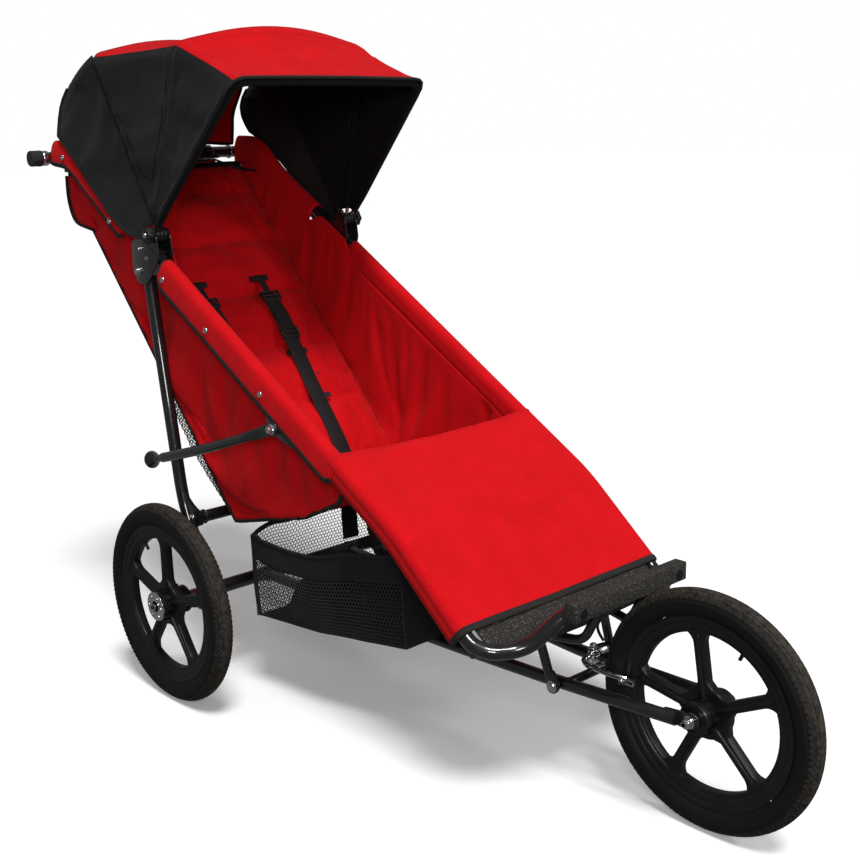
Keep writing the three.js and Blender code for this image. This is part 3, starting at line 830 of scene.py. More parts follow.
def wheels():
    front, left = (0, FRONT_AXLE_Y, WHEEL_RADIUS), (REAR_WHEEL_X, 0, WHEEL_RADIUS)
    tread = wheel_piece("front_tyre_rubber", tyre_mesh(), tyre_rubber, front, "front_wheel", "front_tyre",
                        crease=50)
    common = merged(spoke_disc(), rim_form(), valve_form())
    for number in range(SPOKES):
        common.merge(spoke_ridge(number, 1), spoke_ridge(number, -1))
    spin = Matrix.Rotation(math.radians(FRONT_SPOKE_PHASE), 3, "X")
    wheel_piece("front_wheel_moulding", merged(common, hub_form(-40, 40)).move(lambda p: spin @ p),
                wheel_plastic, front, "front_wheel", "front_wheel")
    rear = wheel_piece("rear_wheel_moulding_left", merged(common, hub_form(-36, 30)), wheel_plastic, left,
                       "rear_wheel_left", "rear_wheel_left")
    share_mesh(rear, "rear_wheel_moulding_right", "rear_wheel_right", -REAR_WHEEL_X, "rear_wheel_right",
               math.pi)
    for side, word in SIDES.items():
        share_mesh(tread, f"rear_tyre_rubber_{word}", f"rear_wheel_{word}", side * REAR_WHEEL_X,
                   f"rear_tyre_{word}")
    rear_hubs()
    front_axle()


def rear_hubs():
    """Chrome rings with six screws, the stub axles and their push buttons."""
    axle = (0, 0, WHEEL_RADIUS)
    face = REAR_WHEEL_X + 30.4
    ring = turned([(11, face), (11, face + 3.2), (12.5, face + 4), (27, face + 4), (29, face + 2.6),
                   (29, face)],
                  axle, segments=64, closed=True)
    screw = [(0.01, face + 3), (3.1, face + 3), (3.1, face + 5.2), (2.2, face + 6), (1.4, face + 4.6),
             (0.01, face + 4.6)]
    for y, z in ring_of(6, 21):
        ring.merge(turned(screw, (0, y, WHEEL_RADIUS + z), segments=16))
    pair("hub_ring_plate", ring, chrome, "rear_wheel_{}", "hub_ring_{}", edge=0.3)
    start, shoulder, end = RAIL_X + 20.4, REAR_WHEEL_X - 37, face + 7.6
    stub = turned([(0.01, start), (12.2, start), (13, start + 0.8), (13, shoulder - 0.8), (12.2, shoulder),
                   (6, shoulder), (6, end - 1), (5.2, end), (4.6, end), (4.6, end - 12), (0.01, end - 12)],
                  axle, segments=40)
    pair("rear_axle_stub", stub, chrome, "lower_frame", "rear_axle_{}")
    button = turned([(0.01, end - 8), (4, end - 8), (4, end + 2.6), (3, end + 3.8), (0.01, end + 4)], axle,
                    segments=28)
    pair("push_button", button, black_plastic, "release_button_{}", "release_button_{}")


def front_axle():
    axle = (0, FRONT_AXLE_Y, WHEEL_RADIUS)
    form = cross_bar(5, -66, 66, *axle[1:], 24)
    for side in SIDES:
        form.merge(bolt_head(side * 51.2, side, *axle[1:], 15, 7.5, 10.5),
                   turned([(8.6, 59.5 * side), (8.6, 61.5 * side), (5, 64 * side)], axle, segments=24),
                   turned([(0.01, 66 * side), (4, 66 * side), (5, 65 * side)], axle, segments=24),
                   turned([(13, 41 * side), (13, 45.4 * side), (9, 45.4 * side), (9, 41 * side)], axle,
                          segments=32, closed=True))
    piece("front_axle_nuts", form, chrome, "lower_frame", "front_axle", edge=0.5)


# ---------- lower frame ----------
BRIDGE_Y = -798


def lower_frame():
    form = merged(cross_bar(14, -256, 256, 0, WHEEL_RADIUS), cross_bar(8, -64, 64, BRIDGE_Y, 196, 24))
    end_caps = Form()
    y = FRONT_AXLE_Y
    dropout = round_outline([(y + 52, 190, 6), (y + 52, 208, 6), (y + 8, 213, 8), (y - 12, 209, 8),
                             (y - 12, 190, 8), (y + 8, 186, 8)])
    mount = round_outline([(-14, 186, 4), (16, 154, 6), (42, 152, 6), (54, 170, 6), (18, 214, 6)])
    for side in SIDES:
        runner = [(side * 110, 0, WHEEL_RADIUS), (side * 84, -500, 190, 80),
                  (side * 62, -740, FOLD_PIVOT[1], 60),
                  (side * 62, -840, 193, 30), (side * 54, FRONT_AXLE_Y + 22, 199)]
        form.merge(tube(runner, 11),
                   weld((side * 110, 0, WHEEL_RADIUS), (side * -26, -500, 0), 13.5, 3),
                   weld((side * 110, -12, WHEEL_RADIUS), (0, 1, 0), 11.5, 2.4),
                   weld((side * 62, BRIDGE_Y, 194), (1, 0, 0), 8.6, 2.2),
                   plate(dropout, side * 46, side * 51),
                   plate(mount, side * 251, side * 255))
        end_caps.merge(turned([(0.01, 0), (10, 0), (13, -side * 1.5), (14.4, -side * 4)],
                              (side * 256.2, 0, WHEEL_RADIUS), segments=32))
    piece("lower_frame_tubes", form, paint, "lower_frame", "lower_frame", edge=0.8)
    piece("axle_tube_caps", end_caps, black_plastic, "lower_frame")


def parking_levers():
    """Foot pedals on flat arms, with ribbed pads."""
    y, z = 34, WHEEL_RADIUS - 34
    arm = round_outline([(y - 12, z + 8, 5), (y + 8, z + 11, 5), (y + 62, z - 12, 5), (y + 66, z - 26, 5),
                         (y + 4, z - 11, 5)])
    form = merged(plate(arm, 255.6, 260), cross_bar(7, 255.6, 266, y, z),
                  block((18, 12, 16), (266, y + 60, z - 18)))
    for k in range(4):
        form.merge(block((17, 13.5, 1.6), (266, y + 60, z - 24 + 4 * k)))
    pair("parking_pedal", form, black_plastic, "parking_lever_{}", "parking_lever_{}", edge=0.7)


# ---------- rim brake ----------
CALIPER_Z = 222


def caliper():
    """Side-pull caliper: two flat forged arms on one bolt, pads in chrome holders."""
    y = BRIDGE_Y
    post = (0, y + 3, 0)
    nut = [(0.01, 238), (8, 238), (8, 239.6), (6.5, 240), (6.5, 244), (5, 245), (0.01, 245)]
    mount = merged(block((26, 24, 5), (0, y, 208)), disc(4, 209, CALIPER_Z + 24, post, "Z"),
                   turned(nut, post, "Z", 6))
    piece("caliper_bolt", mount, chrome, "lower_frame", "caliper_mount", edge=0.6)

    def forging(t):
        return [(u * (1.6 - 0.6 * t), v) for u, v in strap_section(12, 8.5)]

    for side, word in SIDES.items():
        z = CALIPER_Z if side < 0 else CALIPER_Z + 10
        arm = rounded([(side * 7, y + 1, z), (side * 36, y - 4, z, 16), (side * 38, y - 62, z, 16),
                       (side * 27, y - 90, CALIPER_Z - 4)])
        form = merged(sweep(arm, forging), collar(4.7, 9.5, z - 4, z + 4, post, "Z", 40, 1.5),
                      cross_bar(3.4, side * 22, side * 37, y - 84, CALIPER_Z - 7, 16),
                      bolt_head(side * 31, side, y - 84, CALIPER_Z - 7, 9, 5, 6.5),
                      block((4, 28, 10.5), (side * 23.2, y - 86, CALIPER_Z - 10)))
        body = f"caliper_arm_{word}"
        piece(f"caliper_arm_forging_{word}", form, chrome, body, body, edge=0.6)
        pad = block((3.4, 26, 8.6), (side * 19.4, y - 86, CALIPER_Z - 10))
        for k in range(3):
            pad.merge(block((3.8, 1.6, 9), (side * 19.2, y - 94 + 8 * k, CALIPER_Z - 10)))
        piece(f"brake_pad_{word}", pad, brake_lining, body, edge=0.4)


# ---------- rear uprights ----------
def rear_uprights():
    foot, cross, top = (5, 214), (40, 342), (162, 822)
    form = cross_bar(12, -RAIL_X, RAIL_X, *cross)
    gusset = round_outline([(102, 405, 6), (88, 326, 4), (56, 318, 4), (30, 328, 4), (28, 352, 6),
                            (66, 366, 22)])
    for side in SIDES:
        x = side * RAIL_X
        axle_collar = collar(14.8, 20, -10, 12, (0, 0, 0), chamfer=1.4)
        axle_collar.move(lambda p: Vector((side * (RAIL_X + p.x), p.y, p.z + WHEEL_RADIUS)))
        form.merge(tube([(x, *foot), (x, 92, 342, 70), (x, *top)], steps=12), axle_collar,
                   plate(gusset, x - 4, x + 4),
                   weld((x, 6, 218), (0, 24, 60), 13.4, 2.8),
                   weld((x - side * 12, *cross), (1, 0, 0), 12.6, 2.4),
                   turned([(0.01, 0), (11, 0), (12.7, -1.6), (12.7, -3)], (x, *top), "Z", 28))
    piece("upright_tubes", form, paint, "rear_uprights", "rear_uprights", edge=0.8)
    screws = [bolt_head(side * RAIL_X + direction * 4.2, direction, 56, 342, 8, 3.5, 6)
              for side in SIDES for direction in (-1, 1)]
    piece("gusset_screws", merged(*screws), chrome, "rear_uprights", edge=0.4)


# ---------- side struts ----------
STRUT_PIVOT = (-265, 579)
STRUT_END = (166, 446)


def eased(t):
    """A smooth step from 0 to 1."""
    t = min(max(t, 0), 1)
    return t * t * (3 - 2 * t)


def side_struts():
    """Oval bars, pressed flat at the pivot, with flared feet that hook outside the uprights."""
    (y1, z1), (y2, z2) = STRUT_PIVOT, STRUT_END
    plate_x, bar_x = 256, 265
    line = []
    for i in range(29):
        part = 0.02 + 0.96 * i / 28
        x = plate_x + 3 + (bar_x - plate_x - 3) * eased((part - 0.06) / 0.1)
        sag = 5 * math.sin(math.pi * part)
        line.append(Vector((x, y1 + (y2 - y1) * part, z1 + (z2 - z1) * part - sag)))

    def section(t):
        if t > 0.93:
            return circle(6.5 + 12 * max((t - 0.965) / 0.035, 0) ** 1.5)
        flat = min(max((t - 0.05) / 0.1, 0), 1)
        radius = 10 * (1 - 0.35 * max((t - 0.9) / 0.03, 0))
        wide = 11.5 * (1 - flat) + radius * flat
        thin = 3.0 * (1 - flat) + radius * flat
        return [(wide * u, thin * v) for u, v in circle(1)]

    form = merged(sweep(line, section, across=Vector((0, 0.3, 1))),
                  collar(5.6, 14, plate_x, plate_x + 5, (0, y1, z1), segments=40))
    pair("side_strut_bar", form, paint, "side_strut_{}", "side_strut_{}", edge=0.5, crease=45)
    bolt = merged(cross_bar(5, 252.5, 262, y1, z1, 24), bolt_head(261.4, 1, y1, z1, 14, 6.5, 10))
    pair("strut_bolt_head", bolt, chrome, "seat_frame", "strut_bolt_{}", edge=0.5)


# ---------- seat frame ----------
TOE_BAR = (-866, 359)


def rail_height(y):
    if y > RAIL_TOP[0]:
        return RAIL_TOP[1] + (y - RAIL_TOP[0]) * (HANDLE[1] - RAIL_TOP[1]) / (HANDLE[0] - RAIL_TOP[0])
    (y1, z1), (y2, z2) = (RAIL_KNEE, RAIL_TOP) if y > RAIL_KNEE[0] else (RAIL_FOOT, RAIL_KNEE)
    return z1 + (y - y1) * (z2 - z1) / (y2 - y1)


def rail_z(y):
    """Height of a rail's middle, with its bends rounded."""
    return sum(rail_height(y + step) for step in (-24, -12, 0, 12, 24)) / 5


def beside_rail(y, offset):
    """The (y, z) place set off square to a rail's centre line."""
    slope = math.atan2(rail_z(y + 5) - rail_z(y - 5), 10)
    return (y - offset * math.sin(slope), rail_z(y) + offset * math.cos(slope))


def rail(side):
    """From the handle down to the knee and foot, then in and forward to the toe bar."""
    x = side * RAIL_X
    line = rounded([(x, *HANDLE, 0), (x, *RAIL_TOP, 35), (x, *RAIL_KNEE, 110), (x, *RAIL_FOOT, 14),
                    (side * 222, -770, 289, 15), (side * 174, -802, 289, 30), (side * 133, -843.5, 345)], 12)
    return sweep(line, circle(TUBE_RADIUS))


def seat_frame():
    cross_y, cross_z = -742, 284
    form = merged(cross_bar(9, -RAIL_X, RAIL_X, cross_y, cross_z), cross_bar(TUBE_RADIUS, -286, 286, *HANDLE))
    lug = round_outline([(-790, 190, 8), (-782, 174, 8), (-766, 174, 6), (-755, 212, 4), (-776, 214, 4)])
    tab = round_outline([(*beside_rail(-342, -8), 3), (*beside_rail(-228, -8), 3), (-243, 570, 8),
                         (-273, 560, 8), (-328, 546, 8)])
    for side in SIDES:
        form.merge(rail(side),
                   tube([(side * 135, -841, 341), (side * 130, -853, 356)], TUBE_RADIUS - 1.2),
                   tube([(side * 84, cross_y, cross_z), (side * 80, -766, 208)], 8),
                   weld((side * 84, cross_y - 2, 277), (0, -24, -76), 8.6, 2.2),
                   weld((side * (RAIL_X - 12), cross_y, cross_z), (1, 0, 0), 9.6, 2.2),
                   plate(lug, side * 76, side * 82),
                   plate(tab, side * (RAIL_X + 8), side * 252))
    for side in SIDES:
        form.merge(tube([(side * 60, -860, 344), (side * 60, -824, 276, 20), (side * 84, -744, 276)], 8))
    piece("seat_frame_tubes", form, paint, "seat_frame", "main_frame", edge=0.8, crease=40)
    for side, word in SIDES.items():
        bolt = merged(cross_bar(5, side * 74, side * 83, *FOLD_PIVOT, 24),
                      bolt_head(side * 82.4, side, *FOLD_PIVOT, 13, 4.6, 10.5))
        piece(f"fold_bolt_head_{word}", bolt, chrome, "lower_frame", f"fold_bolt_{word}", edge=0.5)


def footrest():
    """Grip-taped dished foot plate inside the loop, and the square toe bar across its front."""
    edge = resampled(rounded([(219, -730, 319, 0), (214, -752, 296, 12), (207, -771, 289, 14),
                              (158, -800, 290, 22), (116, -847, 350, 0)]), 25)

    def place(v, u):
        end = edge[round(v * 24)]
        dish = 5 * math.sin(math.pi * v)
        return Vector((end.x * (2 * u - 1), end.y, end.z - dish * (1 - (2 * u - 1) ** 2)))

    piece("foot_plate_tape", sheet(grid_of(24, 24, place)), grip_tape, "seat_frame", "foot_plate",
          thickness=3.2)
    length, height, depth = 286, 32, 24
    piece("toe_bar_tape", block((length, depth, height), (0, *TOE_BAR)), grip_tape, "seat_frame",
          "toe_bar", edge=2.2)
    socket = [(0.01, -0.4), (7.4, -0.4), (8.2, -1.0), (9.0, 0.3)]
    sockets = [turned(socket, (side * (length / 2 - 20), TOE_BAR[0] - depth / 2, TOE_BAR[1] - 4), "Y", 28)
               for side in SIDES]
    piece("toe_bar_sockets", merged(*sockets), lining, slot="black_plastic")


def rail_brackets():
    """Two pressed cheeks over each rail, joined by a saddle, with rivets and the canopy knob."""
    inner, outer = 14, 17
    cheek = round_outline([
        (98, 904, 6), (106, 919, 7), (123, 919, 7), (131, 906, 5), (192, 890, 7), (195, 832, 8),
        (176, 807, 9), (144, 807, 9), (112, 838, 14), (92, 862, 12),
    ], 6)
    saddle = [beside_rail(112, 13.4), beside_rail(158, 13.4), beside_rail(158, outer),
              beside_rail(112, outer)]
    form = merged(plate(cheek, RAIL_X - outer, RAIL_X - inner), plate(cheek, RAIL_X + inner, RAIL_X + outer),
                  plate(saddle, RAIL_X - outer, RAIL_X + outer))
    pair("rail_bracket_cheeks", form, paint, "seat_frame", "rail_bracket_{}", edge=0.9)
    rivets = [bolt_head(RAIL_X + outer, 1, y, z, size, size * 0.4, size * 0.75)
              for y, z, size in ((172, 832, 11), (160, 877, 6), (136, 860, 6))]
    pair("bracket_bolts", merged(*rivets), chrome, edge=0.4)
    start = RAIL_X + outer + 0.4
    lobes = []
    for i in range(60):
        turn = 2 * math.pi * i / 60
        radius = 16 + 1.3 * math.cos(6 * turn)
        lobes.append((CANOPY_PIVOT[0] + radius * math.cos(turn), CANOPY_PIVOT[1] + radius * math.sin(turn)))
    knob = merged(plate(lobes, start + 2, start + 14), cross_bar(9, start, start + 3, *CANOPY_PIVOT),
                  cross_bar(4.4, RAIL_X - 19, start + 1, *CANOPY_PIVOT))
    pair("canopy_knob_lobes", knob, black_plastic, "canopy_knob_{}", "canopy_knob_{}", edge=1.4)
    button = turned([(0.01, start + 16), (3, start + 16), (5, start + 15), (5.6, start + 13.6)],
                    (0, *CANOPY_PIVOT), segments=32)
    pair("knob_screw", button, chrome, "canopy_knob_{}")


def handle():
    """Foam sleeves on the crossbar, chrome rings, and the hand brake lever."""
    y, z = HANDLE
    bar, bore = (0, y, z), 12.9
    piece("handle_foam", collar(bore, 17, 18 - RAIL_X, 135, bar, chamfer=1.4, slant=2), foam, "seat_frame",
          "handle_grip")
    start, end = RAIL_X + 30, 291
    grip = [(bore, start), (16, start), (17, start + 2), (16.4, end - 6), (17, end - 3), (16, end),
            (0.01, end + 1)]
    pair("grip_end_foam", turned(grip, bar), foam, "seat_frame", "grip_end_{}")
    rings = [collar(12.8, 15.8, x - half, x + half, bar, chamfer=0.8, slant=1.4)
             for x, half in ((RAIL_X + 22.5, 6.5), (RAIL_X - 21, 2.4))]
    pair("handle_ring", merged(*rings), chrome)
    x = 150
    clamp = merged(collar(bore, 17, x - 12, x + 12, bar), block((20, 30, 9), (x, y - 26, z - 9)),
                   cross_bar(3, x - 13, x + 13, y - 18, z + 2, 20))
    piece("lever_clamp", clamp, paint, "seat_frame", "brake_lever_clamp", edge=0.8)
    tip = (x - 136, y - 46, z - 20)
    lever = rounded([(x, y - 34, z - 20), (x - 20, y - 46, z - 20, 12), (x - 110, y - 42, z - 20, 24), tip])
    form = merged(sweep(lever, [(1.25 * u, 0.8 * v) for u, v in circle(5, 20)], across=Vector((0, 0, 1))),
                  turned([(0.01, -5), (5.4, -5), (5.8, 0), (5.4, 5), (0.01, 5)], tip, segments=24))
    piece("brake_lever_blade", form, chrome, "brake_lever", "brake_lever", crease=50)


def brake_cable():
    """Housing from the lever, along the left-hand rail, to the caliper."""
    y, z = HANDLE
    line = rounded([
        (148, y - 40, z - 16), (200, y - 60, z - 40, 30), (RAIL_X, 400, rail_z(400) - 22, 60),
        (RAIL_X, -380, rail_z(-380) - 22, 120), (RAIL_X, -560, rail_z(-560) - 22, 60),
        (RAIL_X - 6, -700, 318, 40), (120, -748, 262, 40), (30, -770, 262, 30), (20, BRIDGE_Y - 2, 246),
    ], 10)
    made = piece("brake_cable_housing", sweep(line, circle(2.6, 12)), black_plastic, None)
    y, z = FOLD_PIVOT
    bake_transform(made)


# ---------- cloth ----------
SEAT_HALF = 214
BACK_BOTTOM = (-66, 386)
BACK_TOP = (482, 1014)
BACK_RISE = Vector((0, BACK_TOP[0] - BACK_BOTTOM[0], BACK_TOP[1] - BACK_BOTTOM[1]))
BACK_ALONG = BACK_RISE.normalized()
BACK_OUT = Vector((0, -BACK_ALONG.z, BACK_ALONG.y))


def on_back(x, s, proud=0.0):
    """A place on the seat back: s runs from 0 at the bottom to 1 at the top, proud lifts it off."""
    return Vector((x, *BACK_BOTTOM)) + BACK_RISE * s + BACK_OUT * proud


def wave(seed, *place):
    """Smooth noise between -1 and 1 at a place of up to three numbers."""
    spot = list(place) + [0.0] * (3 - len(place))
    return noise.noise(Vector(spot) + Vector((seed * 7.31, seed * 3.17, seed * 5.77)))


def settle(made, held, pressure=0.0, slack=0.0, weight=0.0, limit=16, bending=0.5):
    """Lets cloth settle with its held points fixed. Points move at most `limit` millimetres."""
    scene = bpy.context.scene
    hidden = [m for m in made.modifiers if m.show_viewport]
    for modifier in hidden:
        modifier.show_viewport = False
    pins = made.vertex_groups.new(name="pins")
    pins.add(sorted(held), 1.0, "REPLACE")
    cloth = made.modifiers.new("settle", "CLOTH")
    settings = cloth.settings
    settings.quality = 6
    settings.mass = 0.15
    settings.tension_stiffness = settings.compression_stiffness = 15
    settings.bending_stiffness = bending
    settings.tension_damping = settings.compression_damping = 10
    settings.shrink_min = -slack
    settings.vertex_group_mass = "pins"
    settings.use_pressure = pressure != 0
    settings.uniform_pressure_force = pressure
    settings.effector_weights.gravity = weight
    first, last = 1, 20
    cloth.point_cache.frame_start = first
    cloth.point_cache.frame_end = last
    for number in range(first, last + 1):
        scene.frame_set(number)
        bpy.context.view_layer.update()
    settled = made.evaluated_get(bpy.context.evaluated_depsgraph_get()).data
    for vertex, now in zip(made.data.vertices, settled.vertices):
        move = now.co - vertex.co
        length = move.length
        if length > 0:
            vertex.co += move * (limit * MM * math.tanh(length / (limit * MM)) / length)
    made.modifiers.remove(cloth)
    made.vertex_groups.remove(pins)
    scene.frame_set(first)
    for modifier in hidden:
        modifier.show_viewport = True
    made.data.update()


def settled_rows(made, columns):
    """The rows of a settled grid, in millimetres."""
    places = [from_frame(v.co) for v in made.data.vertices]
    return [places[i:i + columns] for i in range(0, len(places), columns)]


def grid_border(rows, columns, extra=()):
    """Numbers of the outermost points of a grid, with any extra points."""
    edge = {r * columns + c for r in range(rows) for c in range(columns)
            if r in (0, rows - 1) or c in (0, columns - 1)}
    return edge.union(extra)


def band(name, line, width, height, across, look=binding_tape, body="seat_frame", **finish):
    """A strip of tape or webbing along a line."""
    return piece(name, sweep(line, strap_section(width, height), across=across), look, body, **finish)


def cord(name, line, radius, look=binding_tape, body="seat_frame", flat=1.0, sides=12):
    """A rolled edge along a line."""
    return piece(name, sweep(line, circle(radius, sides, flat)), look, body)


def sleeve_section(drop, proud):
    """Across a rail: (outboard, offset) places of the cloth from inside, over the tube and down outside."""
    reach = 14.6
    points = [(-reach, -30), (-reach - 0.5, -14)]
    for k in range(9):
        turn = math.pi * (1 - k / 8)
        points.append((reach * math.cos(turn), (reach + proud) * math.sin(turn)))
    return points + [(reach + 1.2, -12), (reach + 2.2, -0.6 * drop), (reach + 1.4, -0.85 * drop),
                     (reach + 0.6, -drop)]


def rail_sleeve(side, word, start, end, drops, number):
    """Red cloth folded over a rail, with black tape on its loose edge and a row of stitches."""
    steps = int(abs(end - start) / 9)
    rows = []
    for i in range(steps + 1):
        share = i / steps
        y = start + (end - start) * share
        near_end = min(share, 1 - share) * abs(end - start)
        drop = drops[0] + (drops[1] - drops[0]) * share
        drop *= 1 - 0.35 * max(1 - near_end / 14, 0) ** 2
        proud = 22 * eased((y - 330) / 130)
        row = []
        for k, (out, offset) in enumerate(sleeve_section(drop, proud)):
            slack = 0.9 * wave(number, y * 0.02, k * 0.3, side) + 0.4 * wave(number + 3, y * 0.07, k * 0.5)
            spot = beside_rail(y, offset + (0 if k < 10 else 1.4 * wave(number + 5, y * 0.012, side)))
            row.append(Vector((side * (RAIL_X + out + (slack if k > 8 else 0)), *spot)))
        rows.append(row)
    label = f"{word}_{number}"
    piece(f"rail_sleeve_{label}", sheet(rows), red_cloth, thickness=1.8, crease=60)
    down = [row[-2] - row[-1] for row in rows]
    tape = [row[-1] + Vector((side * 0.6, 0, 0)) + d.normalized() * 4 for row, d in zip(rows, down)]
    band(f"sleeve_tape_{label}", tape, 10, 4.2, down)
    seam = [row[-2] * 0.2 + row[-3] * 0.8 + Vector((side * 1.4, 0, 0)) for row in rows]
    stitches(f"sleeve_stitches_{label}", [seam], red_thread)


def press_studs(side, word):
    """Chrome press studs along a rail's sleeves: domed caps with a dimple."""
    out = Vector((side, 0, 0.15)).normalized()
    turn = ACROSS.rotation_difference(out).to_matrix()
    profile = [(0.01, 0.6), (2.0, 0.8), (3.0, 1.9), (4.6, 2.3), (5.9, 1.7), (6.5, 0.2), (6.5, -0.6),
               (0.01, -0.6)]
    for k, y in enumerate((452, 262, 76, -66, -232)):
        offset = 4 if y > 400 else -24 if y > 200 else -17
        place = Vector((side * (RAIL_X + 17.6), *beside_rail(y, offset)))
        stud = turned(profile, (0, 0, 0), segments=28).move(lambda p: place + turn @ p)
        piece(f"press_stud_{word}_{k}", stud, chrome, crease=60)


def side_top(y):
    """Where a seat side hangs from: inside the rail, and over the inner cheek of the bracket."""
    at_bracket = math.exp(-((y - 142) / 62) ** 6)
    return Vector((RAIL_X - 15 - 5.5 * at_bracket, *beside_rail(y, -24 + 39 * at_bracket)))


# Soft creases of a seat side: start and end as (y, z), how deep and how wide.
SIDE_CREASES = (
    ((96, 806), (-66, 372), 17, 24), ((20, 760), (-60, 372), -11, 34), ((-70, 660), (-92, 372), 9, 20),
    ((-392, 560), (-250, 404), 9, 17), ((-330, 590), (-330, 430), -7, 20), ((-400, 500), (-190, 470), 6, 14),
)
HIP = Vector((0, -60, 372))


def crease_depth(spot, start, end, depth, width):
    """How far a soft crease from start to end pulls the cloth inwards at a place (y, z)."""
    along = Vector((end[0] - start[0], end[1] - start[1]))
    from_start = Vector((spot.y - start[0], spot.z - start[1]))
    share = from_start.dot(along) / along.length_squared
    across = (from_start - along * share).length
    ends = max(0, min(1, share * 5, (1 - share) * 5))
    return depth * ends * math.exp(-(across / width) ** 2)


def side_bulge(side, spot, v, span):
    """How far a seat side stands out at a place: folds fan out from the hip corner, with creases."""
    from_hip = spot - HIP
    bearing = math.atan2(from_hip.z, from_hip.y)
    away = from_hip.length
    reach = math.sin(math.pi * v) ** 0.8 * min(v / 0.16, 1)
    fan = wave(1, bearing * 5.2, side, 0.3) * min(away / 110, 1) * math.exp(-away / 520)
    second = wave(2, bearing * 11, away * 0.004, side) * min(away / 80, 1) * math.exp(-away / 300)
    lumps = wave(3, spot.y * 0.012, spot.z * 0.012, side)
    bulge = (17 * fan + 7 * second + 6 * lumps + 3) * reach * span
    bulge -= 9 * math.exp(-((spot.y - 150) / 70) ** 2 - ((spot.z - 845) / 60) ** 2) * min(v * 20, 1)
    bulge -= sum(crease_depth(spot, *crease) for crease in SIDE_CREASES) * reach
    return bulge if bulge > 0 else 0.2 * bulge


def seat_side(side, word):
    """The seat's side wall hangs inside the rail, from its bend at the handle to the leg panel."""
    columns, row_steps = 110, 44
    floor_line = [(492, 990), (-62, 352), (-165, 378), (-288, 408), (-392, 456), (-424, 508)]
    bottom = resampled([(0, *p) for p in floor_line], columns + 1)

    def place(v, u):
        top = side_top(478 - 903 * u)
        low = bottom[round(u * columns)]
        edge = Vector((0, top.y, top.z))
        spot = edge.lerp(low, v)
        span = min((edge - low).length / 300, 1)
        x = top.x + (SEAT_HALF - top.x) * v + side_bulge(side, spot, v, span)
        return Vector((side * x, spot.y, spot.z))

    rows = grid_of(row_steps, columns, place)
    made = piece(f"seat_side_cloth_{word}", sheet(rows), red_cloth, "seat_frame", f"seat_side_{word}",
                 thickness=1.8, crease=75)
    held = grid_border(row_steps + 1, columns + 1, range(5 * (columns + 1)))
    settle(made, held, slack=0.02, weight=0.6, limit=10)
    corner = resampled([p + Vector((side * 0.8, 1.5, -1.5)) for p in rows[-1]], 90)
    cord(f"seat_corner_tape_{word}", corner, 4.6, flat=0.6, sides=14)


def seat_back():
    """A lightly padded panel, quilted by sewn channels, over a plain outer cloth."""
    seams = [0.05, 0.22, 0.39, 0.56, 0.73, 0.90]
    half, columns, count = SEAT_HALF, 84, 150

    def place(s, u):
        x = half * (2 * u - 1)
        near = min(abs(s - k) for k in seams) * BACK_RISE.length
        edge = (1 - abs(x / half) ** 6) * min(s / 0.03, 1) * min((1 - s) / 0.03, 1)
        channel = 1 - math.exp(-near / 13)
        column_seam = 1 - 0.5 * math.exp(-abs(abs(x) - 150) / 9)
        puffed = 11 * edge ** 0.6 + 12 * channel * column_seam * edge
        pucker = 4.0 * math.exp(-near / 22) * wave(11, x * 0.055, s * 9)
        wander = 3.2 * wave(12, x * 0.012, s * 9) + 1.6 * wave(13, x * 0.03, s * 26)
        corner = 4.5 * wave(14, x * 0.02 + s * 6, s * 30) * math.exp(-(half - abs(x)) / 45) * edge
        return on_back(x, s, 3.5 + puffed + (pucker + wander + corner) * edge)

    made = piece("seat_back_quilt", sheet(grid_of(count, columns, place)), red_cloth, "seat_frame",
                 "seat_back",
                 thickness=1.8, crease=80)
    seam_rows = [round(seam * count) for seam in seams]
    sewn = [r * (columns + 1) + c for r in seam_rows for c in range(0, columns + 1, 3)]
    settle(made, grid_border(count + 1, columns + 1, sewn), pressure=1.6, slack=0.035, limit=6, bending=0.15)
    rows = settled_rows(made, columns + 1)
    backing = grid_of(30, 40, lambda s, u: on_back(half * (2 * u - 1), s, -2 - 3 * wave(15, u * 5.6, s * 6)))
    piece("seat_back_outer_cloth", sheet(backing), red_cloth, thickness=1.6, crease=80)
    stitches("seat_back_stitches", [[p + BACK_OUT * 1.6 for p in rows[r][4:-4]] for r in seam_rows],
             red_thread)
    top = resampled([(x, BACK_TOP[0] + 1, BACK_TOP[1] + 8) for x in (-216, 216)], 30)
    band("seat_top_tape", top, 20, 7, BACK_OUT.cross(ACROSS), edge=0.6)


def seat_base():
    floor_line = [(-62, 372), (-165, 382), (-288, 411), (-392, 456), (-424, 508)]
    line = resampled([(0, *p) for p in floor_line], 44)

    def place(v, u):
        spot = line[round(v * 43)]
        x = SEAT_HALF * (2 * u - 1)
        hollow = (1 - (x / SEAT_HALF) ** 2) * math.sin(math.pi * v)
        folds = 3.5 * wave(21, x * 0.014, v * 7) + 1.8 * wave(22, x * 0.03, v * 18)
        return Vector((x, spot.y, spot.z + 2 - 7 * hollow + folds * (1 - abs(x / SEAT_HALF) ** 4)))

    piece("seat_base_cloth", sheet(grid_of(43, 60, place)), red_cloth, "seat_frame", "seat_base",
          thickness=3.0,
          crease=80)


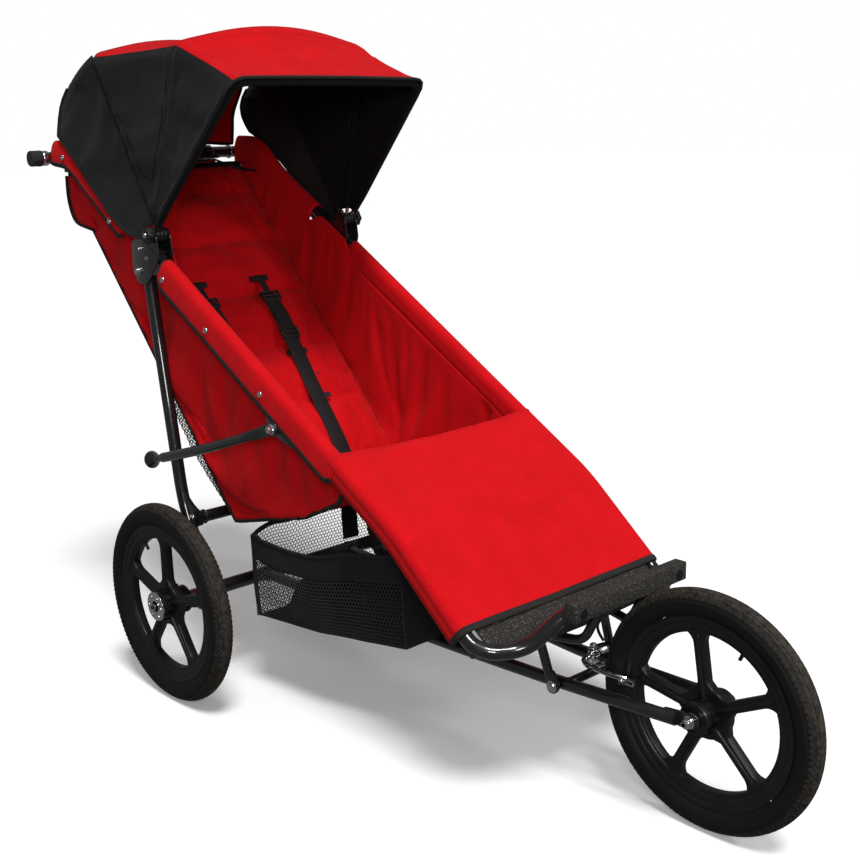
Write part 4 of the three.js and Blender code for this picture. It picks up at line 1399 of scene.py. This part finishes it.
def leg_panel():
    """Red cloth drawn over both rails ahead of the seat, with a hem above and tape below."""
    start, end, over_rail = -414, -724, 15.2
    length = end - start
    turns = [math.radians(-60 + 150 * k / 14) for k in range(15)]
    arc = [(RAIL_X + over_rail * math.cos(t), over_rail * math.sin(t)) for t in turns]
    outer = [(RAIL_X + 13.6, -26), (RAIL_X + 15, -13), *[p for p in arc if p[1] > -9]]
    places = [RAIL_X * (1 - (c + 1) / 25) for c in range(24)]
    half = outer + [(x, 15.8 - 4.5 * (1 - (x / RAIL_X) ** 2)) for x in places]
    across = [(-x, offset) for x, offset in half] + [(0, 11.3)] + half[::-1]

    def place(v, u):
        x, offset = across[round(u * (len(across) - 1))]
        y = start + length * v
        if abs(x) < RAIL_X:
            bow = 7 * (1 - (x / (RAIL_X + 14.6)) ** 2) * (1 - v)
            y += bow * (v - 1)
            inside = min((RAIL_X - abs(x)) / 40, 1)
            offset += inside * (2.2 * wave(31, x * 0.01, v * 3) + wave(32, x * 0.03, v * 8))
        return Vector((x, *beside_rail(y, offset)))

    rows = grid_of(48, len(across) - 1, place)
    piece("leg_panel_cloth", sheet(rows), red_cloth, "seat_frame", "leg_panel", thickness=2.2, crease=80)
    low = [p + Vector((0, -1.5, -0.5)) for p in rows[-1]]
    band("leg_panel_tape", resampled(low, 90), 12, 4.6, Vector((0, 0.75, 0.66)), edge=0.5)
    seams = [[p + Vector((0, 0, lift)) for p in rows[r][4:-4]] for r, lift in ((3, 1.4), (1, 1.4), (-3, 1.6))]
    stitches("leg_panel_stitches", seams, red_thread)
    cord("leg_panel_hem", resampled([p + Vector((0, 1.0, 0.4)) for p in rows[0]], 110), 2.4, red_cloth)


def back_pocket():
    """A bag slung behind the top of the seat back, closed at both ends by taped gussets."""
    half = 220
    profile = resampled(rounded([(0, 500, 1014), (0, 502, 962, 24), (0, 480, 914, 26), (0, 400, 902)]), 34)

    def outer(v, u):
        spot, x = profile[round(v * 33)], half * (2 * u - 1)
        loose = (1 - (x / half) ** 4) * math.sin(math.pi * v)
        puff = 3.5 * wave(41, x * 0.013, v * 4) + 1.6 * wave(42, x * 0.035, v * 10)
        return Vector((x, spot.y + loose * puff, spot.z - loose * abs(puff)))

    def end(v, u):
        spot = profile[round(v * 33)]
        on_seat = BACK_BOTTOM[0] + (min(spot.z, 1010) - BACK_BOTTOM[1]) * BACK_RISE.y / BACK_RISE.z
        inner = min(on_seat + 4, spot.y - 2)
        x = half - 1 + 2.5 * math.sin(math.pi * u) * math.sin(math.pi * v)
        return Vector((x, inner + (spot.y - inner) * u, spot.z))

    piece("back_pocket_cloth", sheet(grid_of(33, 48, outer)), red_cloth, "seat_frame", "back_pocket",
          thickness=2.0, crease=80)
    for side, word in SIDES.items():
        gusset = sheet(grid_of(33, 8, end)).move(lambda p: p if side > 0 else flipped(p))
        piece(f"pocket_gusset_{word}", gusset, red_cloth, thickness=1.8, crease=80)
        edge = [Vector((side * half, p.y + 1, p.z - 0.5)) for p in profile]
        band(f"pocket_tape_{word}", edge, 11, 6.5, ACROSS)
    brim = resampled([(x, 500, 1014) for x in (-218, 218)], 20)
    band("pocket_brim_tape", brim, 16, 4, Vector((0, 0, 1)))


# ---------- nets ----------
def net(name, surface, width, height, body="seat_frame"):
    """A net of hexagonal cells laid on surface(u, v), where u and v are in millimetres."""
    cell, cord_width, weld_distance = 7.6, 1.9, 0.0002
    pitch_v = cell * math.sqrt(3) / 2
    radius = cell / math.sqrt(3)
    points, faces, known = [], [], {}

    def corner(u, v):
        key = (round(u * 4), round(v * 4))
        if key not in known:
            known[key] = len(points)
            points.append(surface(min(max(u, 0), width), min(max(v, 0), height)))
        return known[key]

    for j in range(int(height / pitch_v) + 1):
        for i in range(int(width / cell) + 1):
            u, v = (i + 0.5 * (j % 2)) * cell, j * pitch_v
            ring = []
            for k in range(6):
                turn = math.pi / 6 + math.pi / 3 * k
                spot = corner(u + radius * math.cos(turn), v + radius * math.sin(turn))
                if spot not in ring:
                    ring.append(spot)
            if len(ring) > 2:
                faces.append(ring)
    mesh = bpy.data.meshes.new(name)
    mesh.from_pydata([frame_point(*p) for p in points], [], faces)
    mesh.materials.append(net_cord)
    clean = bmesh.new()
    clean.from_mesh(mesh)
    bmesh.ops.remove_doubles(clean, verts=clean.verts, dist=weld_distance)
    bmesh.ops.dissolve_degenerate(clean, dist=weld_distance, edges=clean.edges)
    clean.to_mesh(mesh)
    clean.free()
    made = bpy.data.objects.new(name, mesh)
    link(made)
    wires = made.modifiers.new("cords", "WIREFRAME")
    wires.thickness = cord_width * MM
    wires.use_even_offset = False
    wires.use_replace = True
    wires.use_boundary = True
    attach(made, body, "mesh_fabric", None)


# The basket in plan and height: station y, half width, rim height, floor height.
BASKET_REAR = (-116, 214, 330, 168)
BASKET_MIDDLE = (-300, 207, 338, 182)
BASKET_FRONT = (-505, 172, 372, 198)


def basket_at(share):
    """Station, half width, rim and floor between the rear (0) and the front (1) of the basket."""
    middle = 0.473
    if share < middle:
        first, second, t = BASKET_REAR, BASKET_MIDDLE, share / middle
    else:
        first, second, t = BASKET_MIDDLE, BASKET_FRONT, (share - middle) / (1 - middle)
    return [a + (b - a) * t for a, b in zip(first, second)]


def basket_wall(side, share, height):
    """A place on a side wall; height runs from 0 at the floor to 1 at the rim."""
    y, half, rim, floor = basket_at(share)
    rim -= 9 * math.sin(math.pi * min(share / 0.7, 1)) - 5 * (share < 0.06)
    sag = 7 * math.sin(math.pi * height) * math.sin(math.pi * share)
    ripple = 2.2 * wave(51, share * 9, height * 2, side) * height
    return Vector((side * (half - 6 * (1 - height) ** 3 + sag + ripple), y, floor + (rim - floor) * height))


def basket_rear(share, height):
    y, half, _, low = BASKET_REAR
    x = half * (2 * share - 1)
    high = 333 + 20 * (1 - abs(x / half) ** 8) - 5 * math.exp(-((abs(x) - 128) / 26) ** 2)
    lean = 6 * math.sin(math.pi * height) * (1 - (x / half) ** 2)
    return Vector((x, y + lean + 1.5 * wave(52, share * 9, height), low + (high - low) * height))


def basket_front(height, u):
    y, half, top, low = BASKET_FRONT
    middle = 2 * u - 1
    belly = 10 * math.sin(math.pi * height) * (1 - middle ** 2)
    return Vector(((half - 6 * (1 - height) ** 3) * middle, y - belly + 3 * height, low
                   + (top - low) * height))


def basket_floor(share, u):
    """The floor lies over the lower frame's tubes and sags beside them."""
    y, half, _, low = basket_at(share)
    x = (half - 6) * (2 * u - 1)
    under_rails = max(0, 1 - abs(abs(x) - 96) / 46)
    rise = (46 - 18 * share) * max(0, min(1, (138 - abs(x)) / 30))
    loose = 3 * wave(53, x * 0.015, share * 6)
    return Vector((x, y, low + rise + loose * (0.4 + 0.6 * under_rails)))


def basket():
    """Net walls under a deep black rim band, a cloth floor and a cloth front panel."""
    length, depth, band_share, body = 400.0, 150.0, 0.26, "lower_frame"
    band_low = 1 - band_share - 0.03
    for side, word in SIDES.items():
        net(f"basket_net_{word}", lambda u, v: basket_wall(side, u / length, v / depth), length,
            depth * (1 - band_share), body)
        rows = grid_of(8, 50, lambda v, u: basket_wall(side, u, band_low + (1 - band_low) * v))
        piece(f"basket_band_{word}", sheet(rows), black_cloth, body, thickness=1.8, crease=70)
        cord(f"basket_rim_{word}", rows[-1], 3.6, body=body, flat=1.3)
        corner = [basket_wall(side, 0.0, h / 10) for h in range(11)]
        band(f"basket_corner_tape_{word}", corner, 14, 3, Vector((0, 1, 0)), body=body)
    width, height = 2 * BASKET_REAR[1], 180
    net("basket_net_rear", lambda u, v: basket_rear(u / width, v / height), width, height, body)
    cord("basket_rim_rear", [basket_rear(k / 60, 1) for k in range(61)], 4.2, body=body, flat=1.4)
    piece("basket_front_cloth", sheet(grid_of(12, 40, basket_front)), black_cloth, body, "basket",
          thickness=1.8,
          crease=70)
    piece("basket_floor_cloth", sheet(grid_of(30, 40, basket_floor)), black_cloth, body, thickness=1.8,
          crease=80)


def seat_pouch():
    """The net pouch sewn to the back of the seat, between the uprights."""
    half, gusset, height = 208.0, 34.0, 300.0
    width = 2 * (half + gusset)

    def surface(u, v):
        from_middle = u - width / 2
        in_gusset = max(abs(from_middle) - half, 0) / gusset
        x = math.copysign(min(abs(from_middle), half), from_middle)
        open_top = math.sin(math.pi * (0.06 + 0.72 * min(v / height, 1)))
        belly = 28 + (6 + 30 * open_top + 4 * wave(61, v * 0.03, math.copysign(2, x))) * (1
                                                                                          - in_gusset) ** 0.8
        belly += (12 * open_top + 4 * wave(62, u * 0.02, v * 0.02)) * (1 - abs(x / half) ** 3)
        return on_back(x, 0.01 + 0.36 * v / height, -belly)

    net("seat_pouch_net", surface, width, height)
    band("seat_pouch_brim", [surface(width * i / 60, height) for i in range(61)], 16, 4,
         Vector((0, 0.6, 0.8)))
    for side, word in SIDES.items():
        edge = [surface(width / 2 + side * width / 2, v) for v in range(0, 301, 12)]
        band(f"seat_pouch_tape_{word}", edge, 14, 4, Vector((1, 0.4, 0.4)))


# ---------- harness ----------
HARNESS_LIFT = 6


def on_quilt(x, s, proud):
    """A place on the quilted seat back."""
    return on_back(x, s, proud + HARNESS_LIFT)


def adjuster(centre, width):
    """A moulded three-bar webbing slide, lying on the seat back."""
    form = Form()
    for offset in (-11, 0, 11):
        middle = centre + BACK_ALONG * offset + BACK_OUT * (2.5 if offset == 0 else 1.0)
        form.merge(sweep([middle + ACROSS * (width / 2 * k) for k in (-1, 1)], circle(2.3, 14)))
    for k in (-1, 1):
        rail_line = [centre + BACK_ALONG * t + ACROSS * (width / 2 * k)
                     + BACK_OUT * (1 + 1.4 * math.cos(t / 8))
                     for t in (-12, -6, 0, 6, 12)]
        form.merge(sweep(rail_line, circle(2.9, 14)))
    return form


def harness(side, word):
    """Shoulder strap: a T anchor through a slot, a doubled strap with two slides, and spare slots."""
    x, width = side * 80, 37

    def strap(line, count, strap_width, height, across=ACROSS):
        return sweep(resampled(line, count), strap_section(strap_width, height), across=across)

    spots = [(0.55, 26), (0.53, 33), (0.48, 36), (0.42, 36), (0.35, 34), (0.27, 32), (0.18, 31),
             (0.09, 29), (0.03, 24)]
    lower = [on_quilt(x - side * 34 * (0.55 - s), s, proud + 1.2 * math.sin(20 * s)) for s, proud in spots]
    upper = [on_quilt(x, s, 40 - 6 * abs(s - 0.46) / 0.07) for s in (0.53, 0.5, 0.46, 0.42, 0.39)]
    neck = [on_quilt(x, s, proud) for s, proud in ((0.545, 31), (0.565, 33), (0.59, 30))]
    anchor = [on_quilt(x + k, 0.595, 29 - abs(k) * 0.1) for k in (-22, -8, 8, 22)]
    form = merged(strap(lower, 60, width, 2.2), strap(upper, 24, width - 3, 2.2), strap(neck, 12, 15, 3),
                  strap(anchor, 12, 14, 5, BACK_ALONG))
    piece(f"harness_webbing_{word}", form, webbing, "seat_frame", f"harness_strap_{word}")
    slides = merged(adjuster(on_quilt(x, 0.53, 35), width + 4),
                    adjuster(on_quilt(x - side * 4, 0.41, 38), width + 4))
    piece(f"harness_slides_{word}", slides, black_plastic)
    slots = Form()
    for s in (0.36, 0.29, 0.22, 0.15):
        slot_line = [on_quilt(x + d, s, 24.5 + 0.8 * math.sin(d)) for d in (-26, -12, 0, 12, 26)]
        slots.merge(sweep(slot_line, strap_section(12, 3.5), across=BACK_ALONG))
    piece(f"harness_slots_{word}", slots, webbing)


def buckle():
    """Crotch buckle on its strap, and the webbing that runs on down to the basket."""
    body = round_outline([(-23, 0, 6), (23, 0, 6), (19, 42, 9), (-19, 42, 9)])
    front = [Vector((a, -186 + 0.42 * b, 428 + 0.9 * b)) for a, b in body]
    normal = Vector((0, -0.9, 0.42))
    form = Form()
    form.prism(*([p + normal * offset for p in front] for offset in (-6, 6)))
    piece("harness_buckle_body", form, black_plastic, "seat_frame", "harness_buckle", edge=2.0)
    line = resampled(rounded([(0, -178, 452), (0, -188, 426, 10), (0, -186, 396)], 6), 16)
    band("crotch_webbing", line, 34, 2.4, ACROSS, webbing)
    hanger = resampled([(2, -150, 384), (0, -150, 340), (-2, -156, 288)], 20)
    band("basket_hanger", hanger, 40, 2.6, ACROSS, webbing)


# ---------- canopy ----------
# Each bow: its angle from straight back, its reach, the rise of its crown and its place on the pin.
REAR_BOW = (57.4, 404, 30, 227.5)
MIDDLE_BOW = (104.6, 355, 25, 236)
FRONT_BOW = (134.3, 384, 2, 244.5)
TAIL_EDGE = (41, 448, 22, 228)
BOW_CORNER_X = 218
BOW_BEND = 26
CLOTH_PROUD = 9.0
CLOTH_LEG = 24
SIDE_COLUMNS = 22
TOP_COLUMNS = 44
CANOPY_LOOKS = [red_cloth, black_cloth, lining, lining]


def about_pivot(x, radius, degrees):
    """A place at a radius and an angle about the canopy's pivot."""
    turn = math.radians(degrees)
    return Vector((x, CANOPY_PIVOT[0] + radius * math.cos(turn), CANOPY_PIVOT[1] + radius * math.sin(turn)))


def bow_corners(shape, out, leg):
    """The corners of a bow's line, or of cloth `out` further from the pivot, whose legs start at `leg`."""
    angle, reach, rise, pin_x = shape
    corner, pin, knee = BOW_CORNER_X + out, pin_x + out / 2, max(leg + 8, 66)
    half = [(pin, leg, 0), (pin, knee, 8), (corner, reach + out, BOW_BEND)]
    line = [(-x, *rest) for x, *rest in half] + [(0, reach + out + 2 * rise, 150)] + half[::-1]
    return [(*about_pivot(x, radius, angle), bend) for x, radius, bend in line]


def canopy_bow(name, shape, body):
    """A chrome-plated hoop with flattened eyes on the pivot pins, cased in cloth above them."""
    hoop = sweep(rounded(bow_corners(shape, 0, 10), 10), circle(4, 16))
    piece(f"{name}_hoop", hoop, chrome, body, name, crease=50)
    eyes = Form()
    for side in SIDES:
        eyes.merge(collar(5.2, 13.6, -3.6, 3.6, (side * shape[3], *CANOPY_PIVOT), segments=40))
    legs = rounded(bow_corners(shape, 0, 12), 10)
    for leg in (legs[:2], legs[-2:]):
        reach = (leg[1] - leg[0]).normalized() * 16
        eyes.merge(sweep([leg[0], leg[0] + reach], circle(5.6, 16)))
    piece(f"{name}_eyes", eyes, black_plastic, body)
    casing = sweep(rounded(bow_corners(shape, 0.5, 26), 10), circle(7.0, 14))
    piece(f"{name}_casing", casing, lining, body, crease=60)


def canopy_row(shape):
    """Places across the canopy: right side, top and left side, spread evenly within each."""
    corners = bow_corners(shape, CLOTH_PROUD, CLOTH_LEG)
    line = rounded(corners, 10)
    corner = Vector(corners[2][:3])
    split = min(range(len(line) // 2), key=lambda i: (line[i] - corner).length)
    side = resampled(line[:split + 1], SIDE_COLUMNS + 1)
    top = resampled(line[split:len(line) - split], TOP_COLUMNS + 1)
    return side + top[1:-1] + [flipped(p) for p in reversed(side)]


def from_pivot(p):
    """The way canopy cloth faces: away from the pivot line, turning sideways at the sides."""
    up = Vector((0, p.y - CANOPY_PIVOT[0], p.z - CANOPY_PIVOT[1])).normalized()
    sideways = min(abs(p.x) / 224, 1) ** 10
    return (up * (1 - sideways) + Vector((math.copysign(sideways, p.x), 0, 0))).normalized()


def blend_over(soft, from_angle, to_angle):
    """Bakes a soft piece's placement into its mesh; the places at the two angles about the pivot are worked
    out but not used.
    """
    start, end = (frame_point(*about_pivot(0, 340, angle)) for angle in (from_angle, to_angle))
    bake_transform(soft)
    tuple(start)
    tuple(end)


def canopy_panel(name, shapes, seed, steps, stands_for):
    """Cloth pulled straight from bow to bow, red above and black at the sides."""
    first, last = (canopy_row(shape) for shape in shapes)
    columns = len(first)
    red_from, red_to = SIDE_COLUMNS, SIDE_COLUMNS + TOP_COLUMNS

    def place(t, u):
        c = round(u * (columns - 1))
        inside = min(c / 6, (columns - 1 - c) / 6, 1)
        p = first[c].lerp(last[c], t)
        ridge = 2.6 * (math.exp(-(t * steps / 1.5) ** 2) + math.exp(-((1 - t) * steps / 1.5) ** 2))
        between = max(math.sin(math.pi * t), 0)
        folds = 3.0 * wave(seed, c * 0.16, t * 2.0) + 1.5 * wave(seed + 1, c * 0.42, t * 4)
        lean = 3.2 * wave(seed + 2, c * 0.10 + t * 3.2, 0.4)
        return p + from_pivot(p) * (ridge + inside * ((folds + lean) * between ** 0.6 - 3.5 * between))

    cloth = sheet(grid_of(steps, columns - 1, place), look=lambda r, c: 0 if red_from <= c < red_to else 1)
    made = piece(name, cloth, CANOPY_LOOKS, None, stands_for, crease=80)
    thicken(made, 2.2, 2)
    sewn = {r * columns + c for r in range(steps + 1) for c in (red_from, red_to)}
    settle(made, grid_border(steps + 1, columns, sewn), slack=0.012, weight=0.3, limit=8, bending=0.8)
    rows = settled_rows(made, columns)
    seams = [[row[c] + from_pivot(row[c]) * 1.8 for row in rows] for c in (red_from, red_to)]
    seams += [[p + from_pivot(p) * 1.6 for p in rows[r][2:-2]] for r in (2, steps - 2)]
    thread = stitches(f"{name}_stitches", seams, black_thread, None, pitch=5.5)
    for soft in (made, thread):
        blend_over(soft, shapes[0][0], shapes[1][0])
    return rows


def gusset_seam(rows):
    """The felled seam that drops from the rear bow, turns near the pivot and climbs to the middle bow."""
    last = len(rows) - 1
    line = []
    for i in range(41):
        t = i / 40
        r = (0.05 + 0.90 * t) * last
        c = SIDE_COLUMNS * (0.96 - 0.70 * math.sin(math.pi * t) ** 0.45)
        low, column = int(r), int(c)
        near, far = (row[column].lerp(row[column + 1], c - column)
                     for row in (rows[low], rows[min(low + 1, last)]))
        line.append(near.lerp(far, r - low) + Vector((-1.2, 0, 0)))
    ridge = merged(*[sweep(side_line, circle(2.6, 10, 0.7))
                     for side_line in (line, [flipped(p) for p in line])])
    made = piece("canopy_gusset_seam", ridge, black_cloth, None)
    blend_over(made, REAR_BOW[0], MIDDLE_BOW[0])


def tail_side(side, word):
    """The black side cloth behind the rear bow; its hem lies over the rail sleeve."""
    outline = [(57.4, 404), (49, 419), (41, 433), (36.5, 438), (34, 436), (31.5, 427), (29.5, 413), (28, 400)]
    steps, inner = 26, 26
    pin_x = REAR_BOW[3] + CLOTH_PROUD / 2

    def place(share, v):
        at = min(share * (len(outline) - 1), len(outline) - 1 - 1e-6)
        (a1, r1), (a2, r2) = outline[int(at)], outline[int(at) + 1]
        reach = r1 + (r2 - r1) * (at - int(at)) + CLOTH_PROUD
        edge_angle = a1 + (a2 - a1) * (at - int(at))
        radius = inner + (reach - inner) * v
        hem = 31.5 - 55 * math.exp(-radius / 140)
        even = REAR_BOW[0] + (hem - REAR_BOW[0]) * share
        spot = about_pivot(0, radius, even + (edge_angle - even) * v ** 3)
        above = max(0, spot.z - rail_z(spot.y))
        bow_x = pin_x + (227 - pin_x) * min(v * 1.2, 1)
        x = bow_x + (256.5 - bow_x) * min(share / 0.3, 1) ** 2 * math.exp(-(above / 70) ** 2)
        i = share * steps
        folds = 3.4 * wave(71, i * 0.24, v * 2, side) + 1.8 * wave(72, i * 0.3 + v * 4, v * 5, side)
        return Vector((side * (x + folds * math.sin(math.pi * v) * min(i / 5, 1)), spot.y, spot.z))

    rows = grid_of(steps, SIDE_COLUMNS, place)
    made = piece(f"canopy_side_cloth_{word}", sheet(rows), [black_cloth, lining], None, crease=80)
    thicken(made, 2.0)
    settle(made, grid_border(steps + 1, SIDE_COLUMNS + 1), slack=0.015, weight=0.3, limit=6, bending=0.8)
    hem_line = [row[-1] for row in rows[8:]] + rows[-1][-2::-1]
    hem = cord(f"canopy_side_hem_{word}", hem_line, 2.6, black_cloth, None, 1.5, 10)
    for soft in (made, hem):
        blend_over(soft, REAR_BOW[0], 27)


def tail():
    """Red cloth behind the rear bow, falling as a narrower curtain to the handle."""
    curtain_low = 1072
    first, last = (canopy_row(shape)[SIDE_COLUMNS:SIDE_COLUMNS + TOP_COLUMNS + 1]
                   for shape in (REAR_BOW, TAIL_EDGE))
    rows = []
    for i in range(15):
        t = i / 14
        ridge = 2.4 * math.exp(-(i / 1.6) ** 2)
        line = [a.lerp(b, t) for a, b in zip(first, last)]
        rows.append([Vector((p.x * (1 - 0.02 * t), p.y + ridge * 0.5, p.z + ridge * 0.8)) for p in line])
    top = rows[-1]
    for i in range(1, 19):
        t = i / 18
        back = 42 * math.sin(math.pi / 2 * min(t * 1.8, 1)) - 6 * t
        row = []
        for c, p in enumerate(top):
            folds = (4.0 * wave(73, c * 0.16, t * 1.5) + 2 * wave(74, c * 0.4, t * 3)) * t
            z = p.z + (curtain_low + 3 * wave(75, c * 0.2, 1) - p.z) * t ** 0.8
            row.append(Vector((p.x * (1 - 0.05 * t), p.y + back + folds, z)))
        rows.append(row)
    made = piece("canopy_tail_cloth", sheet(rows), red_cloth, None, "canopy_tail", thickness=2.0, crease=80)
    hem = [row[0] for row in rows[14:]] + rows[-1][1:-1] + [row[-1] for row in reversed(rows[14:])]
    tape = cord("canopy_tail_tape", hem, 3.0, body=None, flat=1.3, sides=10)
    for soft in (made, tape):
        blend_over(soft, REAR_BOW[0], 20)


def canopy():
    canopy_bow("canopy_bow_rear", REAR_BOW, "canopy_rear")
    canopy_bow("canopy_bow_middle", MIDDLE_BOW, "canopy_middle")
    canopy_bow("canopy_bow_front", FRONT_BOW, "canopy_front")
    rows = canopy_panel("canopy_rear_cloth", (REAR_BOW, MIDDLE_BOW), 81, 24,
                        "canopy_rear_panel")
    gusset_seam(rows)
    rows = canopy_panel("canopy_front_cloth", (MIDDLE_BOW, FRONT_BOW),
                        84, 20,
                        "canopy_front_panel")
    hem = rows[-1]
    cord("canopy_front_piping", hem[SIDE_COLUMNS - 2:SIDE_COLUMNS + TOP_COLUMNS + 3], 3.2,
         body="canopy_front", sides=14)
    for line, word in ((hem[:SIDE_COLUMNS - 1], "right"), (hem[-SIDE_COLUMNS + 1:], "left")):
        cord(f"canopy_front_hem_{word}", line, 3.0, black_cloth, "canopy_front", 1.2)
    tail()
    for side, word in SIDES.items():
        tail_side(side, word)


# ---------- soft pieces given meshes of their own --------------------
SEAT_SOFT = ("seat_side_", "seat_corner_", "seat_back_", "seat_base_", "seat_top_", "seat_pouch_", "harness_",
             "crotch_")


def crumple():
    """Gives each basket piece and each piece of the hanging seat a mesh of its own; the basket floor's height
    is worked out but not used.
    """
    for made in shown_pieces():
        if made.name.startswith("basket_"):
            frame_point(0, 0, BASKET_REAR[3])
            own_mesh(made)
        elif made.name.startswith(SEAT_SOFT):
            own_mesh(made)


# ---------- stage ----------
def stage():
    """A pale floor that throws no light back, three lamps and a white backdrop."""
    floor = bpy.data.meshes.new("floor")
    half = 40.0
    floor.from_pydata([(-half, -half, 0), (half, -half, 0), (half, half, 0), (-half, half, 0)], [],
                      [(0, 1, 2, 3)])
    made = bpy.data.objects.new("floor", floor)
    link(made)
    look = Look("pale_floor", (0.93, 0.93, 0.93), 0.95, specular_ior_level=0.0, emission_strength=0.12)
    look.set("Emission Color", (1, 1, 1, 1))
    floor.materials.append(look.material)
    made.visible_glossy = False
    made.visible_diffuse = False
    made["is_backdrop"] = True
    studio_world()
    key = lamp("key", "SUN", (-0.36, -0.72, 1.55), 2.45)
    key.angle = math.radians(16)
    for name, place, target, size, power in (("fill", (-2.1, -2.6, 1.7), (0, 0, 0.6), 0.8, 38),
                                             ("glint", (1.6, -3.0, 2.2), (0, 0, 0.4), 0.5, 26)):
        lamp(name, "AREA", Vector(place) - Vector(target), power, place).size = size


def lamp(name, kind, towards, power, place=(0, 0, 0)):
    """A lamp whose light comes from the direction `towards`."""
    light = bpy.data.lights.new(name, kind)
    light.energy = power
    made = bpy.data.objects.new(name, light)
    made.location = place
    made.rotation_mode = "QUATERNION"
    made.rotation_quaternion = Vector(towards).to_track_quat("Z", "Y")
    link(made)
    return light


def studio_world():
    """White to the camera, mid grey as light, and dim in reflections so glossy black stays black."""
    as_light, in_reflections = 0.26, 0.16
    world = bpy.data.worlds.new("studio")
    bpy.context.scene.world = world
    world.use_nodes = True
    nodes, links = world.node_tree.nodes, world.node_tree.links
    background = nodes["Background"]
    background.inputs["Color"].default_value = (1, 1, 1, 1)
    path = nodes.new("ShaderNodeLightPath")
    dimmed = nodes.new("ShaderNodeMath")
    dimmed.operation = "MULTIPLY_ADD"
    links.new(path.outputs["Is Glossy Ray"], dimmed.inputs[0])
    dimmed.inputs[1].default_value = in_reflections - as_light
    dimmed.inputs[2].default_value = as_light
    seen = nodes.new("ShaderNodeMath")
    seen.operation = "MAXIMUM"
    links.new(path.outputs["Is Camera Ray"], seen.inputs[0])
    links.new(dimmed.outputs[0], seen.inputs[1])
    links.new(seen.outputs[0], background.inputs["Strength"])


def camera():
    """Low three-quarter view from the front right, tilted very slightly."""
    azimuth, elevation, roll = (math.radians(a) for a in (-42.218, 14.051, -1.446))
    back = Vector((math.sin(azimuth) * math.cos(elevation), -math.cos(azimuth) * math.cos(elevation),
                   math.sin(elevation)))
    right = (-back).cross(Vector((0, 0, 1))).normalized()
    up = right.cross(-back)
    level_right = math.cos(roll) * right + math.sin(roll) * up
    level_up = -math.sin(roll) * right + math.cos(roll) * up
    data = bpy.data.cameras.new("camera")
    data.sensor_width = 36
    data.lens = 52.65
    data.shift_x, data.shift_y = 0.00802, 0.0148
    data.clip_end = 60
    made = bpy.data.objects.new("camera", data)
    place = Vector((-1.5334, -1.7271, 1.0956))
    made.matrix_world = Matrix.Translation(place) @ Matrix((level_right, level_up,
                                                            back)).transposed().to_4x4()
    link(made)
    bpy.context.scene.camera = made
    bpy.context.scene.view_settings.view_transform = "Standard"


# ---------- assembly ----------
wheels()
lower_frame()
parking_levers()
side_struts()
rail_brackets()
caliper()
rear_uprights()
seat_frame()
footrest()
handle()
brake_cable()
for side, word in SIDES.items():
    rail_sleeve(side, word, 92, -430, (44, 40), 1)
    rail_sleeve(side, word, 216, 508, (38, 14), 2)
    press_studs(side, word)
    harness(side, word)
for side, word in SIDES.items():
    seat_side(side, word)
seat_back()
seat_base()
leg_panel()
back_pocket()
seat_pouch()
buckle()
basket()
canopy()
crumple()
stage()
camera()
